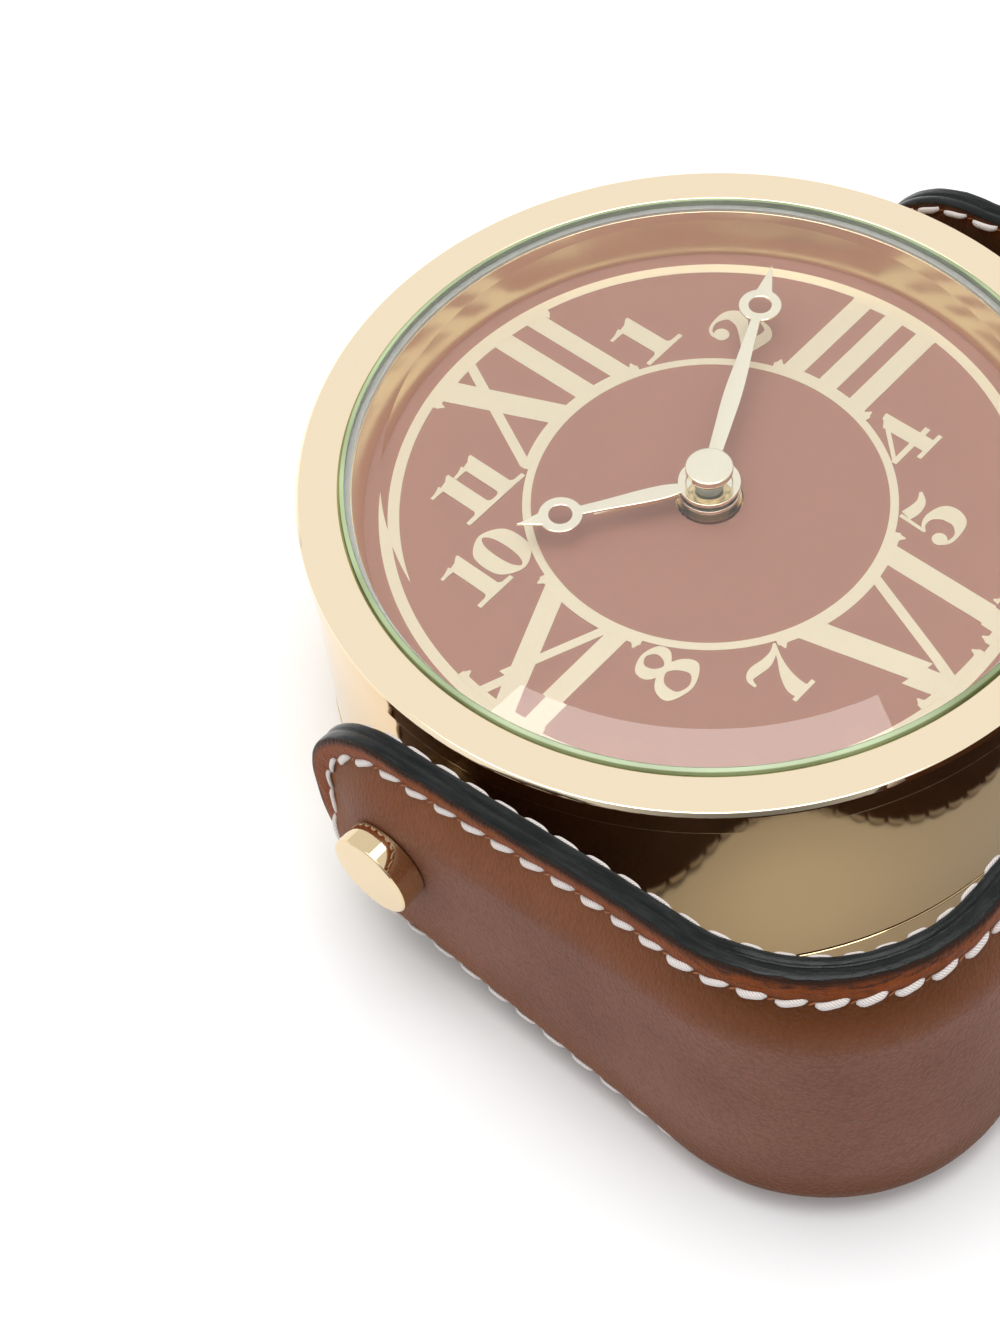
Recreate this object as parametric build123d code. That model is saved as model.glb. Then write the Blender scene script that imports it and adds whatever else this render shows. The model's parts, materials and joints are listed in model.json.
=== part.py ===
from build123d import *
import math
import os

# Travel alarm clock: a round drum that turns on two screw knobs in a U-shaped leather stirrup.
# Units are millimetres. +Z is the dial side, +Y is twelve o'clock and +X is three o'clock.
# Everything is built about the drum's axis and moved by DRUM_Y when it is saved, so that the
# origin ends at the middle of the whole clock's underside.

# Drum, from the table up
BEZEL_R = 38.0
DRUM_R = 37.7
DRUM_HEIGHT = 30.0
PIVOT_Z = 17.5
SEAM_Z = 4.4
SEAM_GAP = 0.2
CASE_TOP_Z = 27.2
CASE_INNER_R = 35.5
COVER_Z = 3.0
COVER_THICK = 1.2
COVER_R = 35.2

# Dial, glass and the ring between them
DIAL_R = 34.5
DIAL_Z = 23.8
DIAL_THICK = 0.4
PLATE_Z = 20.6
PLATE_THICK = 1.4
PLATE_R = 35.2
REFLECTOR_R = 34.7
REFLECTOR_TOP_Z = 28.2
GASKET_THICK = 0.4
GLASS_R = 34.8
GLASS_THICK = 2.4
GLASS_FLANGE = 0.7
GLASS_EDGE = 1.7
GLASS_FACE_R = 30.0
OPENING_R = 33.9

# Leather stirrup
ARM_X = 44.4
BASE_Y = 51.3
BEND_R = 19.2
OUTER_THICK = 3.2
LINING_THICK = 1.0
CORE_THICK = 1.2
PAD_THICK = 1.9
PAD_INSET = 2.5
CORE_INSET = 4.0
TONGUE_END = 11.3
TONGUE_ROUND = 12.5
TONGUE_HALF = 13.9
BASE_HALF = 18.47
TAPER_START = -2.0
TAPER_END = -37.4
BAND_DROP = -1.0
STIRRUP_TILT = -3.0

# Pivot hardware
KNOB_R = 4.2
KNOB_LONG = 2.8
STEM_R = 2.0
BUSH_R = 3.0
WASHER_R = 4.0
LINING_X = ARM_X - OUTER_THICK - LINING_THICK
RUNNING_GAP = 0.05

# Movement box and its layers, from the back up
BOX_X = 26.0
BOX_Y0 = -9.8
BOX_Y1 = 20.0
BOX_Z0 = 5.0
BOX_Z1 = 19.4
WALL = 1.2
CANNON_Z = 14.9
HOUR_Z = 16.4
ALARM_Z = 17.9
GEAR_THICK = 0.8

# Gears: teeth and module
CANNON_TEETH = 12
MINUTE_WHEEL_TEETH = 36
MINUTE_MODULE = 0.30
MINUTE_PINION_TEETH = 12
HOUR_WHEEL_TEETH = 48
HOUR_MODULE = 0.24
ALARM_TEETH = 30
ALARM_MODULE = 0.30
PRESSURE_ANGLE = 25.0
BACKLASH = 0.05
SET_DISTANCE = MINUTE_MODULE * (CANNON_TEETH + MINUTE_WHEEL_TEETH) / 2
ALARM_DISTANCE = ALARM_MODULE * ALARM_TEETH
SET_ANGLE = 150.0
ALARM_ANGLE = 30.0

# Hands, clockwise from twelve
HOUR_HAND_ANGLE = 305.4
MINUTE_HAND_ANGLE = 64.2
HAND_THICK = 0.25
HAND_RING_R = 2.05
HAND_HOLE_R = 1.1
HAND_BOSS_R = 2.9
BOSS_DROP = 0.15
SPEAR_HALF = 0.9
ALARM_HAND_Z = 25.0
HOUR_HAND_Z = 25.95
MINUTE_HAND_Z = 27.5
CAP_R = 2.2
CAP_THICK = 0.65
ARBOR_R = 0.75
HOUR_TUBE_R = 1.3
ALARM_TUBE_R = 1.9
CENTER_BUSH_R = 3.0

# Battery, one AAA cell lying along X
CELL_R = 5.25
CELL_LONG = 44.5
CELL_Y = -16.9
CELL_Z = 11.9
BAY_X = 25.2
BAY_Y0 = -23.3
BAY_Y1 = -10.5
BAY_Z1 = 18.4
DOOR_X = 23.2
DOOR_Y0 = -22.6
DOOR_Y1 = -11.2
DOOR_THICK = 1.2
DOOR_HINGE_Y = DOOR_Y1 - DOOR_THICK / 2
DOOR_HINGE_Z = COVER_Z + DOOR_THICK / 2

# Stepping motor
ROTOR_X = -15.0
ROTOR_Y = 5.0
COIL_Y = 15.5
MOTOR_Z = 11.5

# Back of the clock
SET_KNOB_R = 5.0
SET_KNOB_Z0 = 0.5
SET_KNOB_Z1 = 2.8
SWITCH_X = 16.0
SWITCH_Y = 14.5
SWITCH_TRAVEL = 2.0
BEEPER_Y = 27.8
BEEPER_R = 6.3
POSTS = ((28.2, 13.6), (-28.2, 13.6), (0.0, -29.0))


def polar(distance, degrees):
    """A point at a distance and a counter-clockwise angle from +X."""
    angle = math.radians(degrees)
    return distance * math.cos(angle), distance * math.sin(angle)


SET_X, SET_Y = polar(SET_DISTANCE, SET_ANGLE)
ALARM_X, ALARM_Y = polar(ALARM_DISTANCE, ALARM_ANGLE)


def disc(radius, z0, z1, x=0.0, y=0.0):
    """An upright cylinder from z0 to z1."""
    return Pos(x, y, (z0 + z1) / 2) * Cylinder(radius, z1 - z0)


def tube(outer, inner, z0, z1, x=0.0, y=0.0):
    """An upright tube from z0 to z1."""
    return disc(outer, z0, z1, x, y) - disc(inner, z0 - 1, z1 + 1, x, y)


def block(x0, x1, y0, y1, z0, z1):
    """A box between two corners."""
    middle = Pos((x0 + x1) / 2, (y0 + y1) / 2, (z0 + z1) / 2)
    return middle * Box(x1 - x0, y1 - y0, z1 - z0)


def rod_x(radius, x0, x1, y, z):
    """A cylinder that lies along X."""
    return Pos((x0 + x1) / 2, y, z) * Rot(0, 90, 0) * Cylinder(radius, abs(x1 - x0))


def turned(*points):
    """A solid of revolution about Z from (radius, height) points."""
    profile = make_face(Polyline(*points, close=True))
    return revolve(Plane.XZ * profile, Axis.Z)


def raised(outline, z0, thick):
    """A flat outline in XY, extruded upwards from z0."""
    return extrude(Pos(0, 0, z0) * outline, thick)


def both_sides(solid):
    """A solid and its mirror image across the YZ plane."""
    return [solid, mirror(solid, about=Plane.YZ)]


def gear(teeth, module, turn, x=0.0, y=0.0):
    """Involute gear outline with one tooth centred at the angle turn."""
    pitch_r = teeth * module / 2
    base_r = pitch_r * math.cos(math.radians(PRESSURE_ANGLE))
    tip_r = pitch_r + 0.95 * module
    root_r = pitch_r - 1.25 * module
    roll = math.tan(math.radians(PRESSURE_ANGLE)) - math.radians(PRESSURE_ANGLE)
    half_tooth = (math.pi * module / 2 - BACKLASH) / 2 / pitch_r + roll
    flank = [(root_r, half_tooth)]
    steps = 4
    for step in range(steps + 1):
        radius = base_r + (tip_r - base_r) * step / steps
        ratio = min(1.0, base_r / radius)
        flank.append((radius, half_tooth - (math.tan(math.acos(ratio)) - math.acos(ratio))))
    points = []
    for tooth in range(teeth):
        centre = math.radians(turn) + tooth * 2 * math.pi / teeth
        for radius, half in flank:
            points.append((radius * math.cos(centre - half), radius * math.sin(centre - half)))
        for radius, half in reversed(flank):
            points.append((radius * math.cos(centre + half), radius * math.sin(centre + half)))
    return Pos(x, y) * make_face(Polyline(*points, close=True))


# ---------------------------------------------------------------- leather stirrup

def stirrup_frame(solid):
    """Swings a stirrup piece about the pivot axis to where the stirrup rests on the table."""
    return Pos(0, 0, PIVOT_Z) * Rot(STIRRUP_TILT, 0, 0) * solid


def bent_band(outer_x, outer_y, bend, thick):
    """A U-shaped band about the drum, open at the twelve o'clock side."""
    top = TONGUE_END + 5
    shapes = []
    for inset in (0.0, thick):
        half = outer_x - inset
        depth = outer_y - inset
        sheet = Pos(0, (top - depth) / 2) * Rectangle(2 * half, top + depth)
        corners = sheet.vertices().sort_by(Axis.Y)[:2]
        shapes.append(fillet(corners, bend - inset))
    reach = 2 * BASE_HALF
    return extrude(shapes[0], reach, both=True) - extrude(shapes[1], reach, both=True)


def band_outline(inset):
    """The band's side view: it widens from a round tongue end to a base that lies along the table."""
    end = TONGUE_END - inset
    narrow = TONGUE_HALF - inset
    wide = BASE_HALF - inset
    far = -BASE_Y - 5
    low = wide + (TAPER_END - far) * math.tan(math.radians(-STIRRUP_TILT))
    points = [
        (end, narrow),
        (TAPER_START, narrow),
        (TAPER_END, wide),
        (far, wide),
        (far, -low),
        (TAPER_END, -wide),
        (TAPER_START, -narrow),
        (end, -narrow),
    ]
    sheet = make_face(Polyline(*points, close=True))
    corners = sheet.vertices().sort_by(Axis.X)[-2:]
    sheet = Pos(0, BAND_DROP) * fillet(corners, TONGUE_ROUND - inset)
    return extrude(Plane.YZ * sheet, 2 * ARM_X, both=True)


def band_layer(depth, thick, inset):
    """One layer of the band: its depth below the outer face, thickness and inset from the edge."""
    layer = bent_band(ARM_X - depth, BASE_Y - depth, BEND_R - depth, thick)
    return layer & band_outline(inset)


def leather_pieces():
    """Outer leather with its raised middle, the steel core set into it, and the lining leather."""
    holes = rod_x(BUSH_R, -ARM_X - 5, ARM_X + 5, 0, 0)
    outer = band_layer(0.0, PAD_THICK, PAD_INSET)
    outer += band_layer(PAD_THICK, OUTER_THICK - PAD_THICK, 0.0)
    lining = band_layer(OUTER_THICK, LINING_THICK, 0.0)
    core = band_layer(OUTER_THICK - CORE_THICK, CORE_THICK, CORE_INSET)
    core -= rod_x(BUSH_R + 0.6, -ARM_X - 5, ARM_X + 5, 0, 0)
    return outer - core - holes, core, lining - holes


def pivot_bush():
    """Eyelet that lines the hole in a tongue."""
    body = rod_x(BUSH_R, LINING_X, ARM_X, 0, 0)
    return body - rod_x(STEM_R + RUNNING_GAP, LINING_X - 1, ARM_X + 1, 0, 0)


# ---------------------------------------------------------------- drum

def case_drum():
    """Drum body: a tube with a ledge for the mounting plate and a threaded mouth for the bezel."""
    ledge = PLATE_Z - 1.6
    body = turned(
        (DRUM_R, SEAM_Z + SEAM_GAP),
        (DRUM_R, CASE_TOP_Z),
        (36.25, CASE_TOP_Z),
        (36.25, 24.4),
        (CASE_INNER_R, 24.4),
        (CASE_INNER_R, PLATE_Z),
        (34.0, PLATE_Z),
        (34.0, ledge + 0.6),
        (CASE_INNER_R, ledge - 0.9),
        (CASE_INNER_R, SEAM_Z + SEAM_GAP),
    )
    for side in (-1, 1):
        body -= rod_x(3.3, side * 30, side * CASE_INNER_R, 0, PIVOT_Z)
        body -= rod_x(STEM_R + RUNNING_GAP, side * 30, side * 40, 0, PIVOT_Z)
    return body


def rear_ring():
    """Ring that closes the drum at the back and holds the cover against its lip."""
    return turned(
        (DRUM_R, 0.7),
        (DRUM_R, SEAM_Z),
        (35.45, SEAM_Z),
        (35.45, SEAM_Z + 2.4),
        (34.8, SEAM_Z + 2.4),
        (34.8, SEAM_Z - 0.1),
        (COVER_R + 0.1, SEAM_Z - 0.1),
        (COVER_R + 0.1, COVER_Z),
        (33.5, COVER_Z),
        (33.5, 0.4),
        (33.9, 0.0),
        (DRUM_R - 0.7, 0.0),
    )


def bezel():
    """Flat bezel ring with a screw spigot below it."""
    lip = REFLECTOR_TOP_Z + GASKET_THICK + GLASS_FLANGE + 0.1
    return turned(
        (BEZEL_R, CASE_TOP_Z + 0.4),
        (BEZEL_R, DRUM_HEIGHT - 0.5),
        (BEZEL_R - 0.5, DRUM_HEIGHT),
        (OPENING_R + 0.3, DRUM_HEIGHT),
        (OPENING_R, DRUM_HEIGHT - 0.3),
        (OPENING_R, lip),
        (GLASS_R + 0.1, lip),
        (GLASS_R + 0.1, CASE_TOP_Z),
        (35.4, CASE_TOP_Z - 0.5),
        (35.4, 24.6),
        (36.2, 24.6),
        (36.2, CASE_TOP_Z),
        (BEZEL_R - 0.4, CASE_TOP_Z),
    )


def crystal():
    """Flat glass that stands proud, with a bevelled rim and a flange under the bezel's lip."""
    low = REFLECTOR_TOP_Z + GASKET_THICK
    return turned(
        (0, low),
        (GLASS_R, low),
        (GLASS_R, low + GLASS_FLANGE),
        (OPENING_R - 0.1, low + GLASS_FLANGE),
        (OPENING_R - 0.1, low + GLASS_EDGE),
        (GLASS_FACE_R, low + GLASS_THICK),
        (0, low + GLASS_THICK),
    )


def gasket():
    """Seal between the glass and the reflector ring."""
    return tube(REFLECTOR_R, 32.8, REFLECTOR_TOP_Z, REFLECTOR_TOP_Z + GASKET_THICK)


def reflector_ring():
    """Polished ring that stands between the dial and the glass, stepped to clear the bezel."""
    step = CASE_TOP_Z - 0.7
    return turned(
        (31.4, DIAL_Z),
        (35.2, DIAL_Z),
        (35.2, step),
        (REFLECTOR_R, step),
        (REFLECTOR_R, REFLECTOR_TOP_Z),
        (32.6, REFLECTOR_TOP_Z),
    )


def dial():
    """Dial disc with a hole for the centre bush."""
    return tube(DIAL_R, CENTER_BUSH_R + 0.15, DIAL_Z - DIAL_THICK, DIAL_Z)


def dial_spacer():
    """Ring that carries the dial above the mounting plate."""
    return tube(DIAL_R, 33.0, PLATE_Z + PLATE_THICK, DIAL_Z - DIAL_THICK)


def mounting_plate():
    """Metal disc that seats on the drum's ledge and carries the movement and the posts."""
    plate = disc(PLATE_R, PLATE_Z, PLATE_Z + PLATE_THICK)
    plate -= disc(CENTER_BUSH_R + 0.05, PLATE_Z - 1, PLATE_Z + 3)
    for x, y in POSTS:
        plate -= disc(1.05, PLATE_Z - 1, PLATE_Z + 3, x, y)
    return plate


def center_bush():
    """Threaded bush that clamps the movement to the mounting plate."""
    flange = disc(4.4, BOX_Z1 + 0.6, PLATE_Z)
    body = flange + disc(CENTER_BUSH_R, PLATE_Z, DIAL_Z + 0.3)
    return body - disc(ALARM_TUBE_R + RUNNING_GAP, BOX_Z1 - 1, DIAL_Z + 1)


def center_nut():
    """Thin hexagon nut under the dial."""
    low = PLATE_Z + PLATE_THICK
    nut = raised(RegularPolygon(4.6, 6), low, 1.2)
    return nut - disc(CENTER_BUSH_R, low - 1, low + 2)


def cover_posts():
    """Pillars between the mounting plate and the back cover."""
    low = COVER_Z + COVER_THICK
    return [tube(2.0, 0.8, low, PLATE_Z, x, y) for x, y in POSTS]


def slotted_screw(head_r, head, shank_r, shank, x, y, z, up):
    """Pan-head screw: its head's underside is at z and its shank points along up."""
    head_z = sorted((z, z - up * head))
    shank_z = sorted((z, z + up * shank))
    screw = disc(head_r, head_z[0], head_z[1], x, y) + disc(shank_r, shank_z[0], shank_z[1], x, y)
    floor = z - up * head * 0.5
    slot = sorted((floor, z - up * head * 2))
    return screw - block(x - head_r, x + head_r, y - 0.25, y + 0.25, slot[0], slot[1])


def cover_screws():
    """Screws that hold the back cover to the posts."""
    return [slotted_screw(1.9, 1.0, 0.8, 6.0, x, y, COVER_Z, 1) for x, y in POSTS]


def post_screws():
    """Screws that hold the posts to the mounting plate, under the dial."""
    top = PLATE_Z + PLATE_THICK
    return [slotted_screw(1.5, 0.9, 0.8, 5.0, x, y, top, -1) for x, y in POSTS]


def back_cover():
    """Cover plate with holes for the knobs, the switch, the battery and the beeper's sound."""
    top = COVER_Z + COVER_THICK
    plate = disc(COVER_R, COVER_Z, top)
    plate -= disc(1.4, COVER_Z - 1, top + 1, SET_X, SET_Y)
    plate -= disc(1.4, COVER_Z - 1, top + 1, ALARM_X, ALARM_Y)
    for x, y in POSTS:
        plate -= disc(0.95, COVER_Z - 1, top + 1, x, y)
    low_x = SWITCH_X - 1.5
    high_x = SWITCH_X + 1.5 + SWITCH_TRAVEL
    plate -= block(low_x, high_x, SWITCH_Y - 1.1, SWITCH_Y + 1.1, COVER_Z - 1, top + 1)
    edge = 0.25
    plate -= block(-DOOR_X - edge, DOOR_X + edge, DOOR_Y0 - edge, DOOR_Y1 + edge, COVER_Z - 1, top + 1)
    plate -= rod_x(0.45, -DOOR_X - 2.2, DOOR_X + 2.2, DOOR_HINGE_Y, DOOR_HINGE_Z)
    plate -= disc(0.65, COVER_Z - 1, top + 1, 0, BEEPER_Y)
    for step in range(6):
        x, y = polar(3.0, 60 * step)
        plate -= disc(0.65, COVER_Z - 1, top + 1, x, BEEPER_Y + y)
    return plate


def beeper_cup():
    """Round cup that holds the sounder disc against the back cover."""
    low = COVER_Z + COVER_THICK
    return disc(BEEPER_R, low, low + 4.0, 0, BEEPER_Y) - disc(BEEPER_R - 0.8, low - 1, low + 3.2, 0, BEEPER_Y)


def beeper_disc():
    """Piezo sounder disc."""
    low = COVER_Z + COVER_THICK + 1.6
    return disc(BEEPER_R - 0.85, low, low + 0.4, 0, BEEPER_Y)


# ---------------------------------------------------------------- pivots

def pivot_knob():
    """Polished screw knob: a round head outside the leather and a threaded stem into the drum."""
    face = ARM_X + RUNNING_GAP
    head = rod_x(KNOB_R, face, ARM_X + KNOB_LONG, 0, PIVOT_Z)
    rims = head.edges().filter_by(GeomType.CIRCLE).sort_by(Axis.X)
    head = chamfer(rims[-1], 0.25)
    return head + rod_x(STEM_R, 31.0, face, 0, PIVOT_Z)


def pivot_washer():
    """Spacer between the drum and the stirrup's lining, hollowed to the drum's curve."""
    washer = rod_x(WASHER_R, DRUM_R - 2, LINING_X - RUNNING_GAP, 0, PIVOT_Z)
    washer -= rod_x(STEM_R, 30, 45, 0, PIVOT_Z)
    return washer - disc(DRUM_R, 0, DRUM_HEIGHT)


def pivot_nut():
    """Threaded block inside the drum wall."""
    nut = rod_x(3.0, 31.6, CASE_INNER_R + 1, 0, PIVOT_Z) & disc(CASE_INNER_R, 0, DRUM_HEIGHT)
    return nut - rod_x(STEM_R, 30, 45, 0, PIVOT_Z)


# ---------------------------------------------------------------- movement

def movement_box():
    """Plastic box open at the front, with bearing bosses and a battery bay open at the back."""
    box = block(-BOX_X, BOX_X, BOX_Y0, BOX_Y1, BOX_Z0, BOX_Z1)
    box -= block(-BOX_X + WALL, BOX_X - WALL, BOX_Y0 + WALL, BOX_Y1 - WALL, BOX_Z0 + WALL, BOX_Z1 + 1)
    for x, y, r, top in ((0, 0, 2.4, 14.3), (SET_X, SET_Y, 2.2, 14.3), (ALARM_X, ALARM_Y, 2.2, 17.2)):
        box += disc(r, BOX_Z0, top, x, y)
    box += disc(1.3, BOX_Z0, 9.0, ROTOR_X, ROTOR_Y)
    box -= disc(ARBOR_R + RUNNING_GAP, BOX_Z0 + 4, 20, 0, 0)
    box -= disc(0.85, 0, 20, SET_X, SET_Y)
    box -= disc(0.85, 0, 20, ALARM_X, ALARM_Y)
    box -= disc(0.45, BOX_Z0 + 2, 20, ROTOR_X, ROTOR_Y)
    low_x = SWITCH_X - 1.3
    high_x = SWITCH_X + 1.3 + SWITCH_TRAVEL
    box -= block(low_x, high_x, SWITCH_Y - 1.0, SWITCH_Y + 1.0, BOX_Z0 - 1, BOX_Z0 + WALL + 0.2)
    bay = block(-BAY_X, BAY_X, BAY_Y0, BAY_Y1, BOX_Z0, BAY_Z1)
    bay += block(-20, 20, BAY_Y1 - 0.5, BOX_Y0 + 0.5, BOX_Z0, BOX_Z0 + 6)
    bay -= block(-BAY_X + 1, BAY_X - 1, BAY_Y0 + 0.8, BAY_Y1 - 0.8, BOX_Z0 - 1, BAY_Z1 - 1)
    return box + bay


def movement_lid():
    """Front plate of the movement box."""
    lid = block(-BOX_X, BOX_X, BOX_Y0, BOX_Y1, BOX_Z1, PLATE_Z)
    lid -= disc(4.45, BOX_Z1 + 0.6, PLATE_Z + 1)
    return lid - disc(ALARM_TUBE_R + RUNNING_GAP, BOX_Z1 - 1, PLATE_Z + 1)


def circuit_board():
    """Circuit board on two ribs behind the coil."""
    board = block(-24, 24, 10.2, 18.4, 7.2, 8.2)
    return board - disc(1.1, 6, 9, -21.5, 12)


def board_screw():
    """Screw that holds the circuit board."""
    return slotted_screw(1.6, 0.9, 1.0, 2.0, -21.5, 12, 8.2, -1)


def clock_chip():
    """Chip on the circuit board."""
    return block(3, 8, 12, 16.5, 8.2, 9.6)


def crystal_can():
    """Tuning-fork crystal in its can, lying on the board."""
    return rod_x(1.0, 11, 17, 12, 9.2)


def stator():
    """Soft-iron stator: a flat loop through the coil and round the rotor."""
    z0 = MOTOR_Z - 0.4
    z1 = MOTOR_Z + 0.4
    plate = block(-24, -6, 1.6, 8.4, z0, z1)
    plate += block(-24, -21, 5, COIL_Y + 0.9, z0, z1)
    plate += block(-9, -6, 5, COIL_Y + 0.9, z0, z1)
    plate += block(-24, -6, COIL_Y - 0.9, COIL_Y + 0.9, z0, z1)
    plate -= disc(2.7, z0 - 1, z1 + 1, ROTOR_X, ROTOR_Y)
    return plate - disc(2.6, z0 - 1, z1 + 1, SET_X, SET_Y)


def coil_bobbin():
    """Plastic bobbin with two cheeks."""
    body = block(-20.6, -9.4, COIL_Y - 1.3, COIL_Y + 1.3, MOTOR_Z - 0.8, MOTOR_Z + 0.8)
    for x in (-20.6, -10.0):
        body += block(x, x + 0.6, COIL_Y - 2.6, COIL_Y + 2.6, MOTOR_Z - 2.4, MOTOR_Z + 2.4)
    return body - block(-25, -5, COIL_Y - 0.9, COIL_Y + 0.9, MOTOR_Z - 0.4, MOTOR_Z + 0.4)


def coil_winding():
    """Copper winding as one closed sleeve."""
    wind = block(-20.0, -10.0, COIL_Y - 2.3, COIL_Y + 2.3, MOTOR_Z - 2.1, MOTOR_Z + 2.1)
    wind = fillet(wind.edges().filter_by(Axis.X), 1.2)
    return wind - block(-25, -5, COIL_Y - 1.3, COIL_Y + 1.3, MOTOR_Z - 0.8, MOTOR_Z + 0.8)


def rotor_magnet():
    """Ring magnet of the stepping motor."""
    return tube(2.3, 0.4, MOTOR_Z - 1.1, MOTOR_Z + 1.1, ROTOR_X, ROTOR_Y)


def rotor_pinion():
    """Rotor arbor with its pinion."""
    leaves = raised(gear(12, 0.2, 0, ROTOR_X, ROTOR_Y), MOTOR_Z + 1.6, 1.2)
    return leaves + disc(0.4, BOX_Z0 + 2.4, 15.0, ROTOR_X, ROTOR_Y)


def battery_cell():
    """AAA cell with its contact nub towards +X."""
    half = CELL_LONG / 2
    return rod_x(CELL_R, -half, half - 0.8, CELL_Y, CELL_Z) + rod_x(1.9, half - 0.8, half, CELL_Y, CELL_Z)


def battery_contact(side):
    """Spring contact: a plate on the bay's wall with a raised tongue that touches the cell."""
    wall = BAY_X - 1.0
    end = CELL_LONG / 2
    plate = block(wall - 0.3, wall, CELL_Y - 4, CELL_Y + 4, CELL_Z - 4.5, CELL_Z + 4.5)
    dome = rod_x(1.6, end, wall, CELL_Y, CELL_Z)
    piece = plate + dome
    return piece if side > 0 else mirror(piece, about=Plane.YZ)


def battery_door():
    """Hinged door with two stub pins, a rounded hinge edge and a nail notch."""
    z1 = COVER_Z + DOOR_THICK
    door = block(-DOOR_X, DOOR_X, DOOR_Y0, DOOR_HINGE_Y, COVER_Z, z1)
    door += rod_x(DOOR_THICK / 2, -DOOR_X, DOOR_X, DOOR_HINGE_Y, DOOR_HINGE_Z)
    door += rod_x(0.4, -DOOR_X - 2.0, DOOR_X + 2.0, DOOR_HINGE_Y, DOOR_HINGE_Z)
    return door - disc(2.2, COVER_Z - 1, COVER_Z + 0.6, 0, DOOR_Y0 - 0.6)


# ---------------------------------------------------------------- hands and motion work

def hand_outline(reach, ring_at, hub, swell, swell_at, neck):
    """A leaf-shaped hand that ends in an open ring and a spear point; widths are half widths."""
    near = ring_at - HAND_RING_R + 0.3
    blade = [(-hub, 0), (-swell, swell_at), (-neck, near), (neck, near), (swell, swell_at), (hub, 0)]
    outline = make_face(Polyline(*blade, close=True))
    outline += Pos(0, ring_at) * Circle(HAND_RING_R)
    start = ring_at + HAND_RING_R - 0.75
    outline += make_face(Polyline((-SPEAR_HALF, start), (0, reach), (SPEAR_HALF, start), close=True))
    return outline - Pos(0, ring_at) * Circle(HAND_HOLE_R)


def hand(outline, clockwise, z, bore_r, boss_r=HAND_BOSS_R):
    """A hand turned clockwise from twelve, with a boss round its centre hole."""
    blade = raised(Rot(0, 0, -clockwise) * outline, z, HAND_THICK)
    boss = disc(boss_r, z - BOSS_DROP, z + HAND_THICK)
    return blade + boss - disc(bore_r, z - 1, z + 1)


def hour_hand():
    """Hour hand."""
    outline = hand_outline(18.25, 14.1, 0.35, 0.8, 6.0, 0.45)
    return hand(outline, HOUR_HAND_ANGLE, HOUR_HAND_Z, HOUR_TUBE_R)


def minute_hand():
    """Minute hand."""
    outline = hand_outline(26.6, 21.2, 0.6, 0.87, 10.0, 0.37)
    return hand(outline, MINUTE_HAND_ANGLE, MINUTE_HAND_Z, ARBOR_R, CAP_R - 0.2)


def alarm_hand():
    """Slim alarm hand that lies under the hour hand at rest."""
    outline = make_face(Polyline((-0.35, 0), (-0.2, 11.0), (0.2, 11.0), (0.35, 0), close=True))
    return hand(outline, HOUR_HAND_ANGLE, ALARM_HAND_Z, ALARM_TUBE_R)


def hand_cap():
    """Round cap pressed onto the end of the centre arbor."""
    low = MINUTE_HAND_Z + HAND_THICK
    cap = chamfer(disc(CAP_R, low, low + CAP_THICK).edges().sort_by(Axis.Z)[-1], 0.15)
    return cap - disc(ARBOR_R, low - 1, low + 0.3)


def cannon_pinion():
    """Centre arbor with the pinion that carries the minute hand."""
    leaves = raised(gear(CANNON_TEETH, MINUTE_MODULE, SET_ANGLE), CANNON_Z, GEAR_THICK)
    return leaves + disc(ARBOR_R, BOX_Z0 + 6, MINUTE_HAND_Z + HAND_THICK + 0.3)


def hour_wheel():
    """Hour wheel on the tube that carries the hour hand."""
    turn = SET_ANGLE + 180 / HOUR_WHEEL_TEETH
    wheel = raised(gear(HOUR_WHEEL_TEETH, HOUR_MODULE, turn), HOUR_Z, GEAR_THICK)
    wheel += disc(HOUR_TUBE_R, HOUR_Z, HOUR_HAND_Z + HAND_THICK + 0.1)
    return wheel - disc(ARBOR_R + RUNNING_GAP, 0, 30)


def alarm_wheel():
    """Alarm wheel on the tube that carries the alarm hand."""
    wheel = raised(gear(ALARM_TEETH, ALARM_MODULE, ALARM_ANGLE), ALARM_Z, GEAR_THICK)
    wheel += disc(ALARM_TUBE_R, ALARM_Z, ALARM_HAND_Z + HAND_THICK + 0.1)
    return wheel - disc(HOUR_TUBE_R + RUNNING_GAP, 0, 30)


def minute_wheel():
    """Minute wheel and its pinion in one piece."""
    turn = SET_ANGLE + 180 + 180 / MINUTE_WHEEL_TEETH
    wheel = raised(gear(MINUTE_WHEEL_TEETH, MINUTE_MODULE, turn, SET_X, SET_Y), CANNON_Z, GEAR_THICK)
    pinion = gear(MINUTE_PINION_TEETH, HOUR_MODULE, SET_ANGLE + 180, SET_X, SET_Y)
    wheel += raised(pinion, CANNON_Z + GEAR_THICK, HOUR_Z - CANNON_Z)
    return wheel - disc(0.8, 0, 30, SET_X, SET_Y)


def setting_arbor(x, y, top):
    """Arbor from a setting knob up to its wheel."""
    return disc(0.8, SET_KNOB_Z1 - 1.2, top, x, y)


def alarm_setting_wheel():
    """Wheel on the alarm setting arbor."""
    turn = ALARM_ANGLE + 180 + 180 / ALARM_TEETH
    wheel = raised(gear(ALARM_TEETH, ALARM_MODULE, turn, ALARM_X, ALARM_Y), ALARM_Z, GEAR_THICK)
    return wheel - disc(0.8, 0, 30, ALARM_X, ALARM_Y)


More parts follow.
